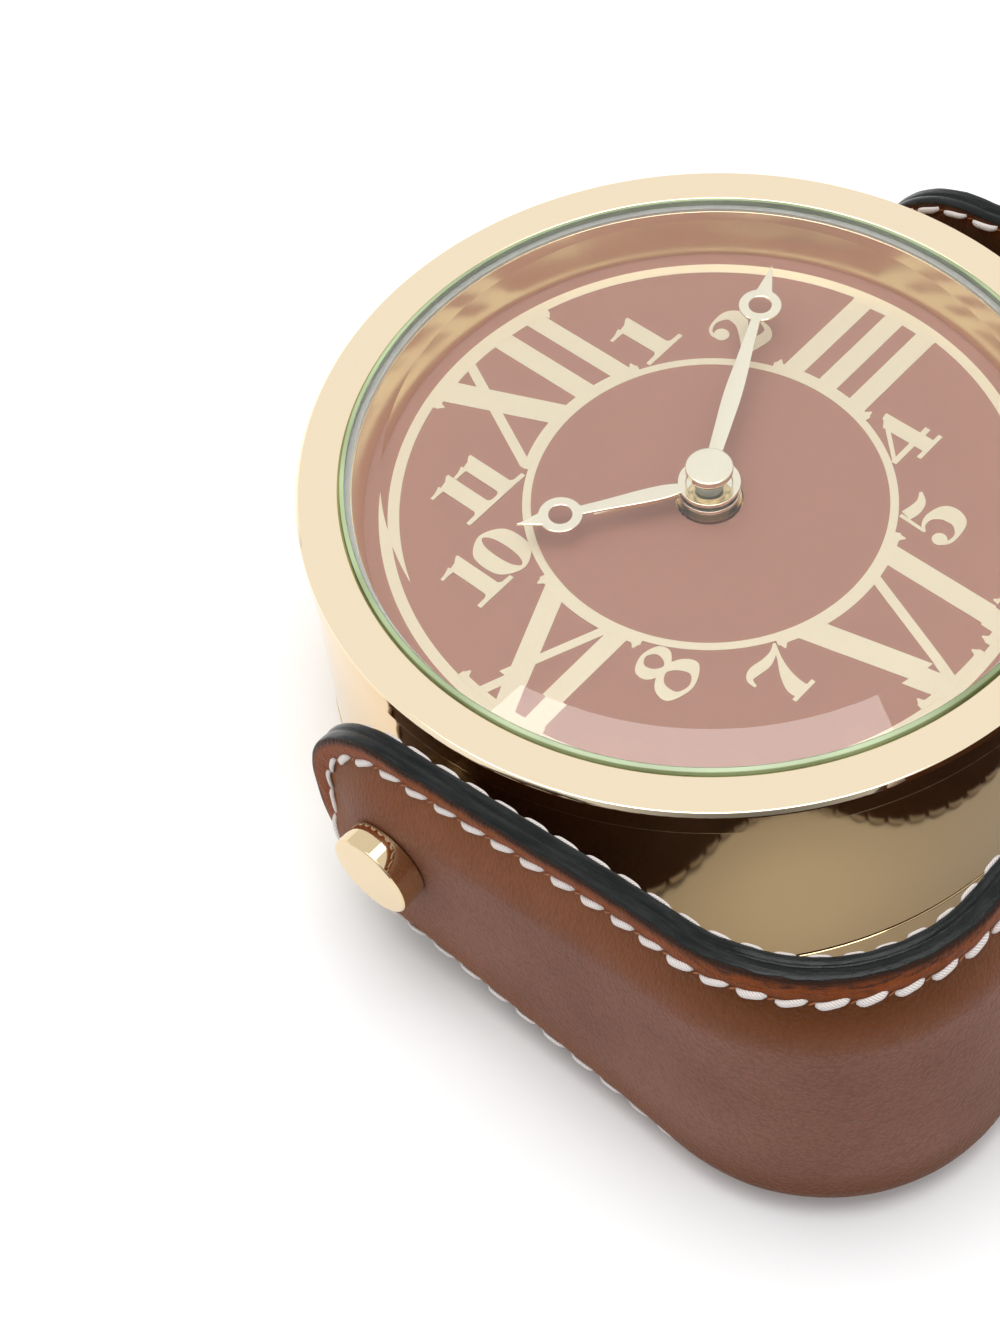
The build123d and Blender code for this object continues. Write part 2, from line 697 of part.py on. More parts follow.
def setting_knob(x, y):
    """Fluted setting knob on the back, with a socket for its arbor."""
    knob = disc(SET_KNOB_R, SET_KNOB_Z0, SET_KNOB_Z1, x, y)
    knob = chamfer(knob.edges().sort_by(Axis.Z)[0], 0.3)
    flutes = 20
    for step in range(flutes):
        fx, fy = polar(SET_KNOB_R + 0.25, 360 / flutes * step)
        knob -= disc(0.55, SET_KNOB_Z0 - 1, SET_KNOB_Z1 + 1, x + fx, y + fy)
    knob -= disc(0.8, SET_KNOB_Z1 - 1.2, SET_KNOB_Z1 + 1, x, y)
    return knob


def alarm_slider():
    """Alarm on and off slider: a ribbed thumb pad outside and a stem through the cover."""
    pad = block(SWITCH_X - 2.6, SWITCH_X + 2.6, SWITCH_Y - 1.9, SWITCH_Y + 1.9, 1.7, COVER_Z - 0.1)
    for step in (-1, 0, 1):
        x = SWITCH_X + 1.3 * step
        pad -= block(x - 0.25, x + 0.25, SWITCH_Y - 3, SWITCH_Y + 3, 1.6, 2.1)
    return pad + block(SWITCH_X - 1.1, SWITCH_X + 1.1, SWITCH_Y - 0.9, SWITCH_Y + 0.9, COVER_Z - 0.1, 7.1)


# ---------------------------------------------------------------- writing

def all_nodes():
    """Every node's name and its solids, about the drum's axis."""
    outer, core, lining = leather_pieces()
    arbor_top = HOUR_Z + GEAR_THICK
    return {
        "leather_outer": [stirrup_frame(outer)],
        "stirrup_spring_core": [stirrup_frame(core)],
        "leather_lining": [stirrup_frame(lining)],
        "pivot_bushes": [stirrup_frame(solid) for solid in both_sides(pivot_bush())],
        "case_drum": [case_drum()],
        "rear_ring": [rear_ring()],
        "bezel_ring": [bezel()],
        "crystal": [crystal()],
        "crystal_gasket": [gasket()],
        "reflector_ring": [reflector_ring()],
        "dial_plate": [dial()],
        "dial_spacer": [dial_spacer()],
        "mounting_plate": [mounting_plate()],
        "center_bush": [center_bush()],
        "center_nut": [center_nut()],
        "cover_posts": cover_posts(),
        "cover_screws": cover_screws(),
        "post_screws": post_screws(),
        "back_cover": [back_cover()],
        "beeper_cup": [beeper_cup()],
        "beeper_disc": [beeper_disc()],
        "pivot_knobs": both_sides(pivot_knob()),
        "pivot_washers": both_sides(pivot_washer()),
        "pivot_nuts": both_sides(pivot_nut()),
        "movement_box": [movement_box()],
        "movement_lid": [movement_lid()],
        "circuit_board": [circuit_board()],
        "board_screw": [board_screw()],
        "clock_chip": [clock_chip()],
        "crystal_can": [crystal_can()],
        "stator": [stator()],
        "coil_bobbin": [coil_bobbin()],
        "coil_winding": [coil_winding()],
        "rotor_magnet": [rotor_magnet()],
        "rotor_pinion": [rotor_pinion()],
        "battery_cell": [battery_cell()],
        "battery_contact_plus": [battery_contact(1)],
        "battery_contact_minus": [battery_contact(-1)],
        "battery_door": [battery_door()],
        "hour_hand": [hour_hand()],
        "minute_hand": [minute_hand()],
        "alarm_hand": [alarm_hand()],
        "hand_cap": [hand_cap()],
        "cannon_pinion": [cannon_pinion()],
        "hour_wheel": [hour_wheel()],
        "alarm_wheel": [alarm_wheel()],
        "minute_wheel": [minute_wheel()],
        "time_set_arbor": [setting_arbor(SET_X, SET_Y, arbor_top)],
        "time_set_knob": [setting_knob(SET_X, SET_Y)],
        "alarm_set_wheel": [alarm_setting_wheel()],
        "alarm_set_arbor": [setting_arbor(ALARM_X, ALARM_Y, ALARM_Z + GEAR_THICK)],
        "alarm_set_knob": [setting_knob(ALARM_X, ALARM_Y)],
        "alarm_slider": [alarm_slider()],
    }


def main():
    os.makedirs("parts", exist_ok=True)
    nodes = all_nodes()
    base_reach = nodes["leather_outer"][0].bounding_box().min.Y
    drum_y = -(base_reach + BEZEL_R) / 2
    print("drum_y", round(drum_y, 4))
    for name, solids in nodes.items():
        placed = [Pos(0, drum_y, 0) * solid for solid in solids]
        shape = placed[0] if len(placed) == 1 else Compound(children=placed)
        export_step(shape, f"parts/{name}.step")


main()
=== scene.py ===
import json
import math
import random

import bpy
import numpy as np
from mathutils import Matrix, Vector, noise


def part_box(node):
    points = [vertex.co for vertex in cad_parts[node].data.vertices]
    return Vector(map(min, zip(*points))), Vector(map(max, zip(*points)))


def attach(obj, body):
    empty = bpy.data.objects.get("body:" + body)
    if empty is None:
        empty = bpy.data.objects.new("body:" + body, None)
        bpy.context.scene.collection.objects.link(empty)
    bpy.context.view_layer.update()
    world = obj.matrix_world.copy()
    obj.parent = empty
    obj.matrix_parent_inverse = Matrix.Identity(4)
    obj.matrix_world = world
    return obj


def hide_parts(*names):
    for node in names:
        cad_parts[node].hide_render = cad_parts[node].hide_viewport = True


# Looks of the travel alarm clock. Lengths below are millimetres about the drum's axis, with z=0 on
# the table, and become metres in the row frame when a mesh is made.

MM = 0.001
TURNS = 192

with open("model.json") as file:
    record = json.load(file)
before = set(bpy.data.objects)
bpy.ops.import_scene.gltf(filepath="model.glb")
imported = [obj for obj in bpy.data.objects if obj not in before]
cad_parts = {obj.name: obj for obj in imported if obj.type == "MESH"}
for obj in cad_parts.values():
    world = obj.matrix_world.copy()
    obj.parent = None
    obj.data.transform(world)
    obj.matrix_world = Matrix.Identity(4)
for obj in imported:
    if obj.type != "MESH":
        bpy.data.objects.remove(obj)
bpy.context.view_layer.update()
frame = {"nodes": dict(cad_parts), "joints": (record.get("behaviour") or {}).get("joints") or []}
random.seed(7)

AXIS_Y = (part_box("bezel_ring")[0].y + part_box("bezel_ring")[1].y) / 2 / MM
PIVOT_Z = frame["joints"][0]["pos_m"][2] / MM


def low(node):
    """Lowest height of a CAD node."""
    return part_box(node)[0].z / MM


def high(node):
    """Greatest height of a CAD node."""
    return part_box(node)[1].z / MM


def reach(node):
    """Greatest radius of a round CAD node about the drum's axis."""
    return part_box(node)[1].x / MM


# ---------------------------------------------------------------- materials

def socket_value(shader, name, value):
    """Sets one input of a shader node."""
    shader.inputs[name].default_value = value


def new_material(name, color, metallic=0.0, rough=0.5):
    """A node material with one Principled shader; returns the material, its tree and the shader."""
    mat = bpy.data.materials.new(name)
    mat.use_nodes = True
    tree = mat.node_tree
    shader = tree.nodes["Principled BSDF"]
    socket_value(shader, "Base Color", (*color, 1))
    socket_value(shader, "Metallic", metallic)
    socket_value(shader, "Roughness", rough)
    return mat, tree, shader


def node(tree, kind, links=(), **values):
    """Adds a node, sets its inputs and attributes and links (output, input name) pairs to it."""
    made = tree.nodes.new(kind)
    for key, value in values.items():
        if hasattr(made, key):
            setattr(made, key, value)
        else:
            made.inputs[key.replace("_", " ")].default_value = value
    for output, name in links:
        tree.links.new(output, made.inputs[name])
    return made


def coordinates(tree, scale, kind="Object"):
    """Texture coordinates in millimetres times a scale."""
    source = tree.nodes.new("ShaderNodeTexCoord")
    factor = scale if isinstance(scale, tuple) else (scale, scale, scale)
    if kind == "Object":
        factor = tuple(f / MM for f in factor)
    mapping = node(tree, "ShaderNodeMapping", [(source.outputs[kind], "Vector")], Scale=factor)
    return mapping.outputs["Vector"]


def noise_node(tree, vector, scale=1.0, detail=2.0, rough=0.5):
    """Noise texture output."""
    made = node(tree, "ShaderNodeTexNoise", [(vector, "Vector")], Scale=scale, Detail=detail)
    made.inputs["Roughness"].default_value = rough
    return made.outputs["Fac"]


def remap(tree, value, low_in, high_in, low_out, high_out):
    """Maps a value from one range to another, clamped."""
    made = tree.nodes.new("ShaderNodeMapRange")
    ends = {"From Min": low_in, "From Max": high_in, "To Min": low_out, "To Max": high_out}
    for name, number in ends.items():
        made.inputs[name].default_value = number
    tree.links.new(value, made.inputs["Value"])
    return made.outputs["Result"]


def mix_color(tree, factor, first, second):
    """Mixes two colours; each is a tuple or an output."""
    made = node(tree, "ShaderNodeMix", data_type="RGBA")
    tree.links.new(factor, made.inputs[0])
    for index, color in ((6, first), (7, second)):
        if isinstance(color, tuple):
            made.inputs[index].default_value = (*color, 1)
        else:
            tree.links.new(color, made.inputs[index])
    return made.outputs[2]


def math_node(tree, operation, first, second):
    """One arithmetic step; each operand is a number or an output."""
    made = node(tree, "ShaderNodeMath", operation=operation)
    for index, value in ((0, first), (1, second)):
        if isinstance(value, (int, float)):
            made.inputs[index].default_value = value
        else:
            tree.links.new(value, made.inputs[index])
    return made.outputs[0]


def multiply(tree, first, second):
    """Product of two operands, each a number or an output."""
    return math_node(tree, "MULTIPLY", first, second)


def add_bump(tree, shader, height, depth_mm, normal=None):
    """Bump of a real depth; returns the bump's normal so that another can follow."""
    made = node(tree, "ShaderNodeBump", [(height, "Height")], Strength=1.0, Distance=depth_mm * MM)
    if normal is not None:
        tree.links.new(normal, made.inputs["Normal"])
    tree.links.new(made.outputs["Normal"], shader.inputs["Normal"])
    return made.outputs["Normal"]


def gilt_material(name, rough, haze=0.02, color=(0.905, 0.735, 0.485)):
    """Pale gold plate: polished, with a faint haze that changes its roughness."""
    mat, tree, shader = new_material(name, color, metallic=1.0, rough=rough)
    cloud = noise_node(tree, coordinates(tree, 0.25), detail=4)
    tree.links.new(remap(tree, cloud, 0.3, 0.7, rough, rough + haze), shader.inputs["Roughness"])
    fine = noise_node(tree, coordinates(tree, 3.0), detail=3)
    add_bump(tree, shader, fine, 0.0004)
    return mat


def dial_material():
    """Matt red-brown enamel with a very fine grain."""
    mat, tree, shader = new_material("dial_enamel", (0.468, 0.213, 0.155), rough=0.55)
    grain = noise_node(tree, coordinates(tree, 9.0), detail=3, rough=0.7)
    cloud = noise_node(tree, coordinates(tree, 0.12), detail=2)
    tone = mix_color(tree, remap(tree, grain, 0.3, 0.7, 0, 1), (0.462, 0.211, 0.153), (0.503, 0.238, 0.175))
    tone = mix_color(tree, remap(tree, cloud, 0.35, 0.65, 0, 0.5), tone, (0.486, 0.225, 0.165))
    tree.links.new(tone, shader.inputs["Base Color"])
    add_bump(tree, shader, grain, 0.006)
    return mat


def print_material():
    """Gilt print on the dial: pale, grainy and only half metallic."""
    mat, tree, shader = new_material("dial_gilt_print", (1.0, 0.89, 0.69), metallic=0.3, rough=0.40)
    grain = noise_node(tree, coordinates(tree, 11.0), detail=3, rough=0.8)
    tone = mix_color(tree, remap(tree, grain, 0.3, 0.7, 0, 1), (0.88, 0.74, 0.53), (0.98, 0.87, 0.67))
    tree.links.new(tone, shader.inputs["Base Color"])
    add_bump(tree, shader, grain, 0.008)
    return mat


def glass_material():
    """Clear mineral glass, green where the light goes a long way through it."""
    mat, tree, shader = new_material("crystal_glass", (1, 1, 1), rough=0.0)
    socket_value(shader, "IOR", 1.5)
    socket_value(shader, "Transmission Weight", 1.0)
    smear = noise_node(tree, coordinates(tree, 0.05), detail=1)
    add_bump(tree, shader, smear, 0.0005)
    volume = tree.nodes.new("ShaderNodeVolumeAbsorption")
    volume.inputs["Color"].default_value = (0.30, 0.62, 0.32, 1)
    volume.inputs["Density"].default_value = 13.0
    tree.links.new(volume.outputs["Volume"], tree.nodes["Material Output"].inputs["Volume"])
    return mat


def glass_rim_material():
    """Ground edge of the glass, where the green light inside it comes out."""
    mat, tree, shader = new_material("glass_ground_edge", (0.30, 0.38, 0.20), rough=0.22)
    tone = noise_node(tree, coordinates(tree, 0.08), detail=2)
    mixed = mix_color(tree, remap(tree, tone, 0.3, 0.7, 0, 1), (0.20, 0.25, 0.12), (0.42, 0.52, 0.30))
    tree.links.new(mixed, shader.inputs["Base Color"])
    return mat


def leather_material(name, lining=False):
    """Full-grain leather: pebbled grain, tone changes, polished creases and a burnished rim, with a painted
    dark reflection: a more saturated band near the edge that is darkest in the bends.
    """
    mat, tree, shader = new_material(name, (0.175, 0.068, 0.040), rough=0.48)
    socket_value(shader, "Specular IOR Level", 0.08)
    uv = coordinates(tree, 1.0, "UV")
    edge = node(tree, "ShaderNodeAttribute", attribute_name="edge").outputs["Fac"]
    bend = node(tree, "ShaderNodeAttribute", attribute_name="bend").outputs["Fac"]
    hide = coordinates(tree, (1.35, 0.72, 1.0), "UV")
    pebble = node(tree, "ShaderNodeTexVoronoi", [(hide, "Vector")], Scale=2.7)
    pebble.feature = "SMOOTH_F1"
    pebble.inputs["Smoothness"].default_value = 0.6
    warp = noise_node(tree, hide, scale=0.9, detail=3, rough=0.6)
    fine = noise_node(tree, hide, scale=5.0, detail=3, rough=0.6)
    cloud = noise_node(tree, uv, scale=0.07, detail=4, rough=0.55)
    blotch = noise_node(tree, uv, scale=0.40, detail=4, rough=0.6)
    patchy = remap(tree, cloud, 0.35, 0.65, 0, 1)
    tone = mix_color(tree, patchy, (0.160, 0.058, 0.032), (0.213, 0.086, 0.054))
    tone = mix_color(tree, remap(tree, fine, 0.35, 0.7, 0, 0.35), tone, (0.250, 0.117, 0.080))
    valley = remap(tree, pebble.outputs["Distance"], 0.30, 0.75, 0, 0.28)
    tone = mix_color(tree, valley, tone, (0.085, 0.030, 0.018))
    # painted reflection: the band near the edge is painted more saturated and orange, standing in for a dark
    # reflection on the curled face
    near = remap(tree, edge, 3.0, 8.5, 1, 0)
    tone = mix_color(tree, multiply(tree, near, 0.75), tone, (0.180, 0.056, 0.014))
    # painted dark reflection: in the bends the band is painted darker still; the same mask also lowers the
    # roughness a little and drives the crease bump
    bend_dark_reflection_and_crease = multiply(tree, near, remap(tree, bend, 0.1, 1, 0.0, 1.0))
    bend_dark_reflection_and_crease = multiply(tree, bend_dark_reflection_and_crease, remap(tree, blotch, 0.25, 0.6, 0.80, 1.0))
    tone = mix_color(tree, bend_dark_reflection_and_crease, tone, (0.094, 0.023, 0.000))
    rim = remap(tree, edge, 1.5, 2.6, 1, 0)
    rim = multiply(tree, rim, remap(tree, blotch, 0.3, 0.6, 0.5, 1.0))
    tone = mix_color(tree, rim, tone, (0.215, 0.048, 0.008))
    scuff = noise_node(tree, coordinates(tree, (0.6, 2.4, 1.0), "UV"), detail=4, rough=0.7)
    worn = remap(tree, edge, 1.0, 2.0, 1, 0)
    worn = multiply(tree, worn, remap(tree, bend, 0.3, 0.9, 0, 1))
    worn = multiply(tree, worn, remap(tree, scuff, 0.48, 0.60, 0, 0.85))
    tone = mix_color(tree, worn, tone, (0.030, 0.013, 0.008))
    ragged = math_node(tree, "ADD", edge, multiply(tree, blotch, -0.9))
    burnish = remap(tree, ragged, 0.35, -0.25, 0, 1)
    tone = mix_color(tree, burnish, tone, (0.030, 0.013, 0.008))
    if lining:
        tone = mix_color(tree, remap(tree, fine, 0, 1, 0.62, 0.70), tone, (0.012, 0.006, 0.003))
    tree.links.new(tone, shader.inputs["Base Color"])
    gloss = remap(tree, fine, 0.3, 0.7, 0.40, 0.54)
    gloss = math_node(tree, "SUBTRACT", gloss, multiply(tree, bend_dark_reflection_and_crease, 0.06))
    tree.links.new(gloss, shader.inputs["Roughness"])
    height = math_node(tree, "ADD", pebble.outputs["Distance"], multiply(tree, fine, 0.8))
    height = math_node(tree, "ADD", height, multiply(tree, warp, 0.9))
    first = add_bump(tree, shader, height, 0.05 if lining else 0.11)
    crease = noise_node(tree, coordinates(tree, (0.8, 0.18, 1.0), "UV"), scale=5.0, detail=3.0)
    add_bump(tree, shader, multiply(tree, crease, bend_dark_reflection_and_crease), 0.03, first)
    return mat


def edge_material():
    """Black edge paint: thick, glossy, with streaks along the edge and worn specks."""
    mat, tree, shader = new_material("edge_paint", (0.008, 0.009, 0.009), rough=0.3)
    socket_value(shader, "Specular IOR Level", 0.20)
    streak = noise_node(tree, coordinates(tree, (0.22, 1.7, 1.0), "UV"), detail=3, rough=0.6)
    speck = noise_node(tree, coordinates(tree, (1.4, 4.0, 1.0), "UV"), detail=4, rough=0.75)
    glossy = remap(tree, streak, 0.42, 0.66, 0, 1)
    tone = mix_color(tree, glossy, (0.003, 0.004, 0.004), (0.012, 0.013, 0.013))
    tone = mix_color(tree, remap(tree, speck, 0.66, 0.74, 0, 0.6), tone, (0.050, 0.043, 0.038))
    tree.links.new(tone, shader.inputs["Base Color"])
    tree.links.new(remap(tree, streak, 0.35, 0.7, 0.12, 0.34), shader.inputs["Roughness"])
    first = add_bump(tree, shader, streak, 0.09)
    add_bump(tree, shader, speck, 0.03, first)
    return mat


def thread_material():
    """Waxed white thread with its plies twisted along it, with painted shade in the grooves between the
    plies.
    """
    mat, tree, shader = new_material("stitch_thread", (0.78, 0.74, 0.70), rough=0.6)
    along = coordinates(tree, 1.0, "UV")
    ply = node(tree, "ShaderNodeTexWave", [(along, "Vector")], Scale=2.2, Distortion=0.6)
    ply.bands_direction = "DIAGONAL"
    fiber = noise_node(tree, coordinates(tree, (2.0, 9.0, 1.0), "UV"), detail=3)
    # painted shade: the thread is painted darker between the plies and lighter on their crowns, following the
    # same waves as the bump
    crown = remap(tree, ply.outputs["Fac"], 0.1, 0.6, 0, 1)
    tone = mix_color(tree, crown, (0.56, 0.50, 0.47), (0.80, 0.74, 0.71))
    tone = mix_color(tree, remap(tree, fiber, 0.45, 0.75, 0, 0.5), tone, (0.66, 0.60, 0.58))
    tree.links.new(tone, shader.inputs["Base Color"])
    first = add_bump(tree, shader, ply.outputs["Fac"], 0.05)
    add_bump(tree, shader, fiber, 0.02, first)
    return mat


def slit_material():
    """Raw orange leather inside the awl slits."""
    mat, tree, shader = new_material("awl_slit", (0.30, 0.085, 0.015), rough=0.6)
    speck = noise_node(tree, coordinates(tree, 2.0), detail=2)
    tone = mix_color(tree, speck, (0.16, 0.045, 0.010), (0.46, 0.14, 0.03))
    tree.links.new(tone, shader.inputs["Base Color"])
    return mat


def grained(name, first, second, rough, metallic=0.0, scale=2.0, depth=0.01):
    """A plain part's material: two close tones, a moulded or cast grain and uneven gloss."""
    mat, tree, shader = new_material(name, first, metallic=metallic, rough=rough)
    grain = noise_node(tree, coordinates(tree, scale), detail=4, rough=0.6)
    tone = mix_color(tree, remap(tree, grain, 0.3, 0.7, 0, 1), first, second)
    tree.links.new(tone, shader.inputs["Base Color"])
    tree.links.new(remap(tree, grain, 0.3, 0.7, rough - 0.06, rough + 0.08), shader.inputs["Roughness"])
    add_bump(tree, shader, grain, depth)
    return mat


GILT = gilt_material("gilt_polished", 0.035, color=(0.985, 0.830, 0.600))
# painted shade: the drum's gilt is a darker copy of the same gold plate, for the dim floor and leather it
# reflects; the rear ring and the bezel's walls share it
SHADED_DRUM_GILT = gilt_material("shaded_drum_gilt", 0.05, color=(0.74, 0.53, 0.28))
# painted shade: the knobs' gilt is a darker copy of the same gold plate, dimming what they reflect
SHADED_KNOB_GILT = gilt_material("shaded_knob_gilt", 0.03, color=(0.76, 0.60, 0.37))
GILT_SOFT = gilt_material("gilt_satin", 0.16, haze=0.08)
GILT_HAND = gilt_material("gilt_hand", 0.12, color=(1.0, 0.93, 0.76))
DIAL = dial_material()
PRINT = print_material()
GLASS = glass_material()
GLASS_RIM = glass_rim_material()
LEATHER = leather_material("leather_brown")
LINING_LEATHER = leather_material("leather_lining_brown", lining=True)
EDGE = edge_material()
THREAD = thread_material()
SLIT = slit_material()
BLACK = grained("black_moulded", (0.022, 0.022, 0.023), (0.036, 0.036, 0.037), 0.45, depth=0.02, scale=4.0)
WHITE = grained("white_moulded", (0.62, 0.61, 0.58), (0.70, 0.69, 0.66), 0.42)
BRASS = grained("brass_part", (0.70, 0.48, 0.20), (0.82, 0.60, 0.28), 0.25, metallic=1.0, depth=0.002)
STEEL = grained("steel_part", (0.50, 0.50, 0.49), (0.62, 0.62, 0.61), 0.24, metallic=1.0, depth=0.002)
COPPER = grained("copper_winding", (0.62, 0.25, 0.12), (0.80, 0.38, 0.20), 0.35, metallic=1.0,
                 scale=(9.0, 0.5, 0.5))
BOARD = grained("board_green", (0.020, 0.12, 0.050), (0.035, 0.17, 0.075), 0.4)
MAGNET = grained("magnet_grey", (0.10, 0.10, 0.11), (0.17, 0.17, 0.18), 0.4, metallic=0.6)
CELL = grained("cell_jacket", (0.42, 0.43, 0.45), (0.50, 0.51, 0.53), 0.3, metallic=0.5)

SLOT_LOOKS = {
    "leather_outer": LEATHER,
    "leather_lining": LINING_LEATHER,
    "spring_steel": STEEL,
    "gilt": GILT_SOFT,
    "gilt_hand": GILT_HAND,
    "dial": DIAL,
    "glass": GLASS,
    "brass": BRASS,
    "steel": STEEL,
    "black_plastic": BLACK,
    "white_plastic": WHITE,
    "board": BOARD,
    "copper": COPPER,
    "magnet": MAGNET,
    "cell": CELL,
}


def dress_cad_nodes():
    """Gives every carried-over CAD node the look of its material slot."""
    for name, obj in frame["nodes"].items():
        for slot in obj.material_slots:
            key = slot.material.name.split(".")[0]
            look = SLOT_LOOKS.get(key)
            if look is None:
                raise ValueError(f"no look for slot {key} of {name}")
            slot.material = look


# ---------------------------------------------------------------- mesh helpers

def to_row(points):
    """Drum-centred millimetres to metres in the row frame."""
    points = np.asarray(points, float)
    return (points + np.array([0, AXIS_Y, 0])) * MM


def add_piece(name, points, faces, mat, body, replaced=(), smooth=True):
    """Makes one mesh piece, in drum-centred millimetres, that rides on a body."""
    mesh = bpy.data.meshes.new(name)
    mesh.from_pydata([tuple(p) for p in to_row(points)], [], faces)
    mesh.validate()
    mesh.polygons.foreach_set("use_smooth", [smooth] * len(mesh.polygons))
    mesh.materials.append(mat)
    obj = bpy.data.objects.new(name, mesh)
    bpy.context.scene.collection.objects.link(obj)
    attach(obj, body)
    if replaced:
        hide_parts(*replaced)
    return obj


def set_uv(obj, name, values):
    """Adds a UV layer from one (u, v) pair for each vertex."""
    mesh = obj.data
    layer = mesh.uv_layers.new(name=name)
    corner = np.zeros(len(mesh.loops), np.int32)
    mesh.loops.foreach_get("vertex_index", corner)
    layer.data.foreach_set("uv", np.array(values, np.float32)[corner].ravel())


def set_amount(obj, name, values):
    """Adds a named number for each vertex, for a material to read."""
    made = obj.data.attributes.new(name, "FLOAT", "POINT")
    made.data.foreach_set("value", np.array(values, np.float32))


def soften(profile, radius, steps=3, closed=True):
    """Rounds each corner of a profile and adds a close support point on both sides of it.

    A profile point is (across, up) or (across, up, own radius)."""
    count = len(profile)
    result = []
    for i in range(count):
        point = Vector(profile[i][:2])
        own = profile[i][2] if len(profile[i]) > 2 else radius
        if not closed and i in (0, count - 1):
            result.append(tuple(point))
            continue
        before = Vector(profile[i - 1][:2]) - point
        after = Vector(profile[(i + 1) % count][:2]) - point
        angle = before.angle(after)
        cut = own / math.tan(angle / 2)
        cut = min(cut, 0.42 * before.length, 0.42 * after.length)
        extra = min(0.35 * cut + 0.01, 0.06)
        start = point + before.normalized() * cut
        end = point + after.normalized() * cut
        result.append(tuple(start + before.normalized() * extra))
        for step in range(steps + 1):
            t = step / steps
            result.append(tuple((1 - t) ** 2 * start + 2 * t * (1 - t) * point + t * t * end))
        result.append(tuple(end + after.normalized() * extra))
    return result


def lathe(profile, closed=True, turns=TURNS):
    """Points and faces of a profile of (radius, height) turned about the Z axis."""
    angles = np.arange(turns) * 2 * math.pi / turns
    points = []
    rows = []
    for radius, height in profile:
        if radius < 1e-6:
            rows.append([len(points)] * turns)
            points.append((0.0, 0.0, height))
            continue
        rows.append(list(range(len(points), len(points) + turns)))
        for angle in angles:
            points.append((radius * math.cos(angle), radius * math.sin(angle), height))
    faces = []
    count = len(profile)
    for i in range(count if closed else count - 1):
        first, second = rows[i], rows[(i + 1) % count]
        for j in range(turns):
            k = (j + 1) % turns
            ring = [first[j], first[k], second[k], second[j]]
            ring = [v for n, v in enumerate(ring) if v != ring[n - 1]]
            if len(ring) > 2:
                faces.append(ring)
    return np.array(points), faces


def turned_piece(name, profile, mat, body, replaced=(), radius=0.08, steps=3, closed=True):
    """A piece turned about the drum's axis."""
    points, faces = lathe(soften(profile, radius, steps, closed), closed)
    return add_piece(name, points, faces, mat, body, replaced)


def raised_shapes(shapes, z0, thick, bevel, grow=0.0):
    """Bevelled raised shapes: each is a list of closed outlines, where a second outline is a hole."""
    points = []
    faces = []
    for index, outlines in enumerate(shapes):
        curve = bpy.data.curves.new("outline", "CURVE")
        curve.dimensions = "2D"
        curve.fill_mode = "BOTH"
        curve.extrude = thick / 2 - bevel
        curve.bevel_depth = bevel
        curve.bevel_resolution = 1
        curve.offset = grow - bevel
        for outline in outlines:
            spline = curve.splines.new("POLY")
            spline.points.add(len(outline) - 1)
            for point, (x, y) in zip(spline.points, outline):
                point.co = (x, y, 0, 1)
            spline.use_cyclic_u = True
        holder = bpy.data.objects.new("outline", curve)
        mesh = bpy.data.meshes.new_from_object(holder)
        start = len(points)
        lift = z0 + thick / 2 + 0.0007 * index
        points += [(v.co.x, v.co.y, v.co.z + lift) for v in mesh.vertices]
        faces += [[start + v for v in polygon.vertices] for polygon in mesh.polygons]
        bpy.data.objects.remove(holder)
        bpy.data.meshes.remove(mesh)
        bpy.data.curves.remove(curve)
    return np.array(points), faces


def turn_points(points, degrees):
    """Turns points about the Z axis, counter-clockwise."""
    angle = math.radians(degrees)
    c, s = math.cos(angle), math.sin(angle)
    return np.asarray(points) @ np.array([[c, s, 0], [-s, c, 0], [0, 0, 1]])


# ---------------------------------------------------------------- drum

BEZEL_R = reach("bezel_ring")
BEZEL_TOP = high("bezel_ring")
BEZEL_LOW = 27.2
OPENING_R = 33.9
DRUM_R = reach("case_drum")
SEAM_Z = high("rear_ring") - 2.4
GLASS_LOW = low("crystal")
GLASS_TOP = high("crystal")
DIAL_Z = high("dial_plate")
CASE_INNER_R = 35.5
GLASS_R = 33.45
GLASS_FACE_R = 30.0
GROUND_R = 33.38
GROUND_OUT_R = 33.86
BEZEL_RIM = 0.42
RING_BEAD = 0.07


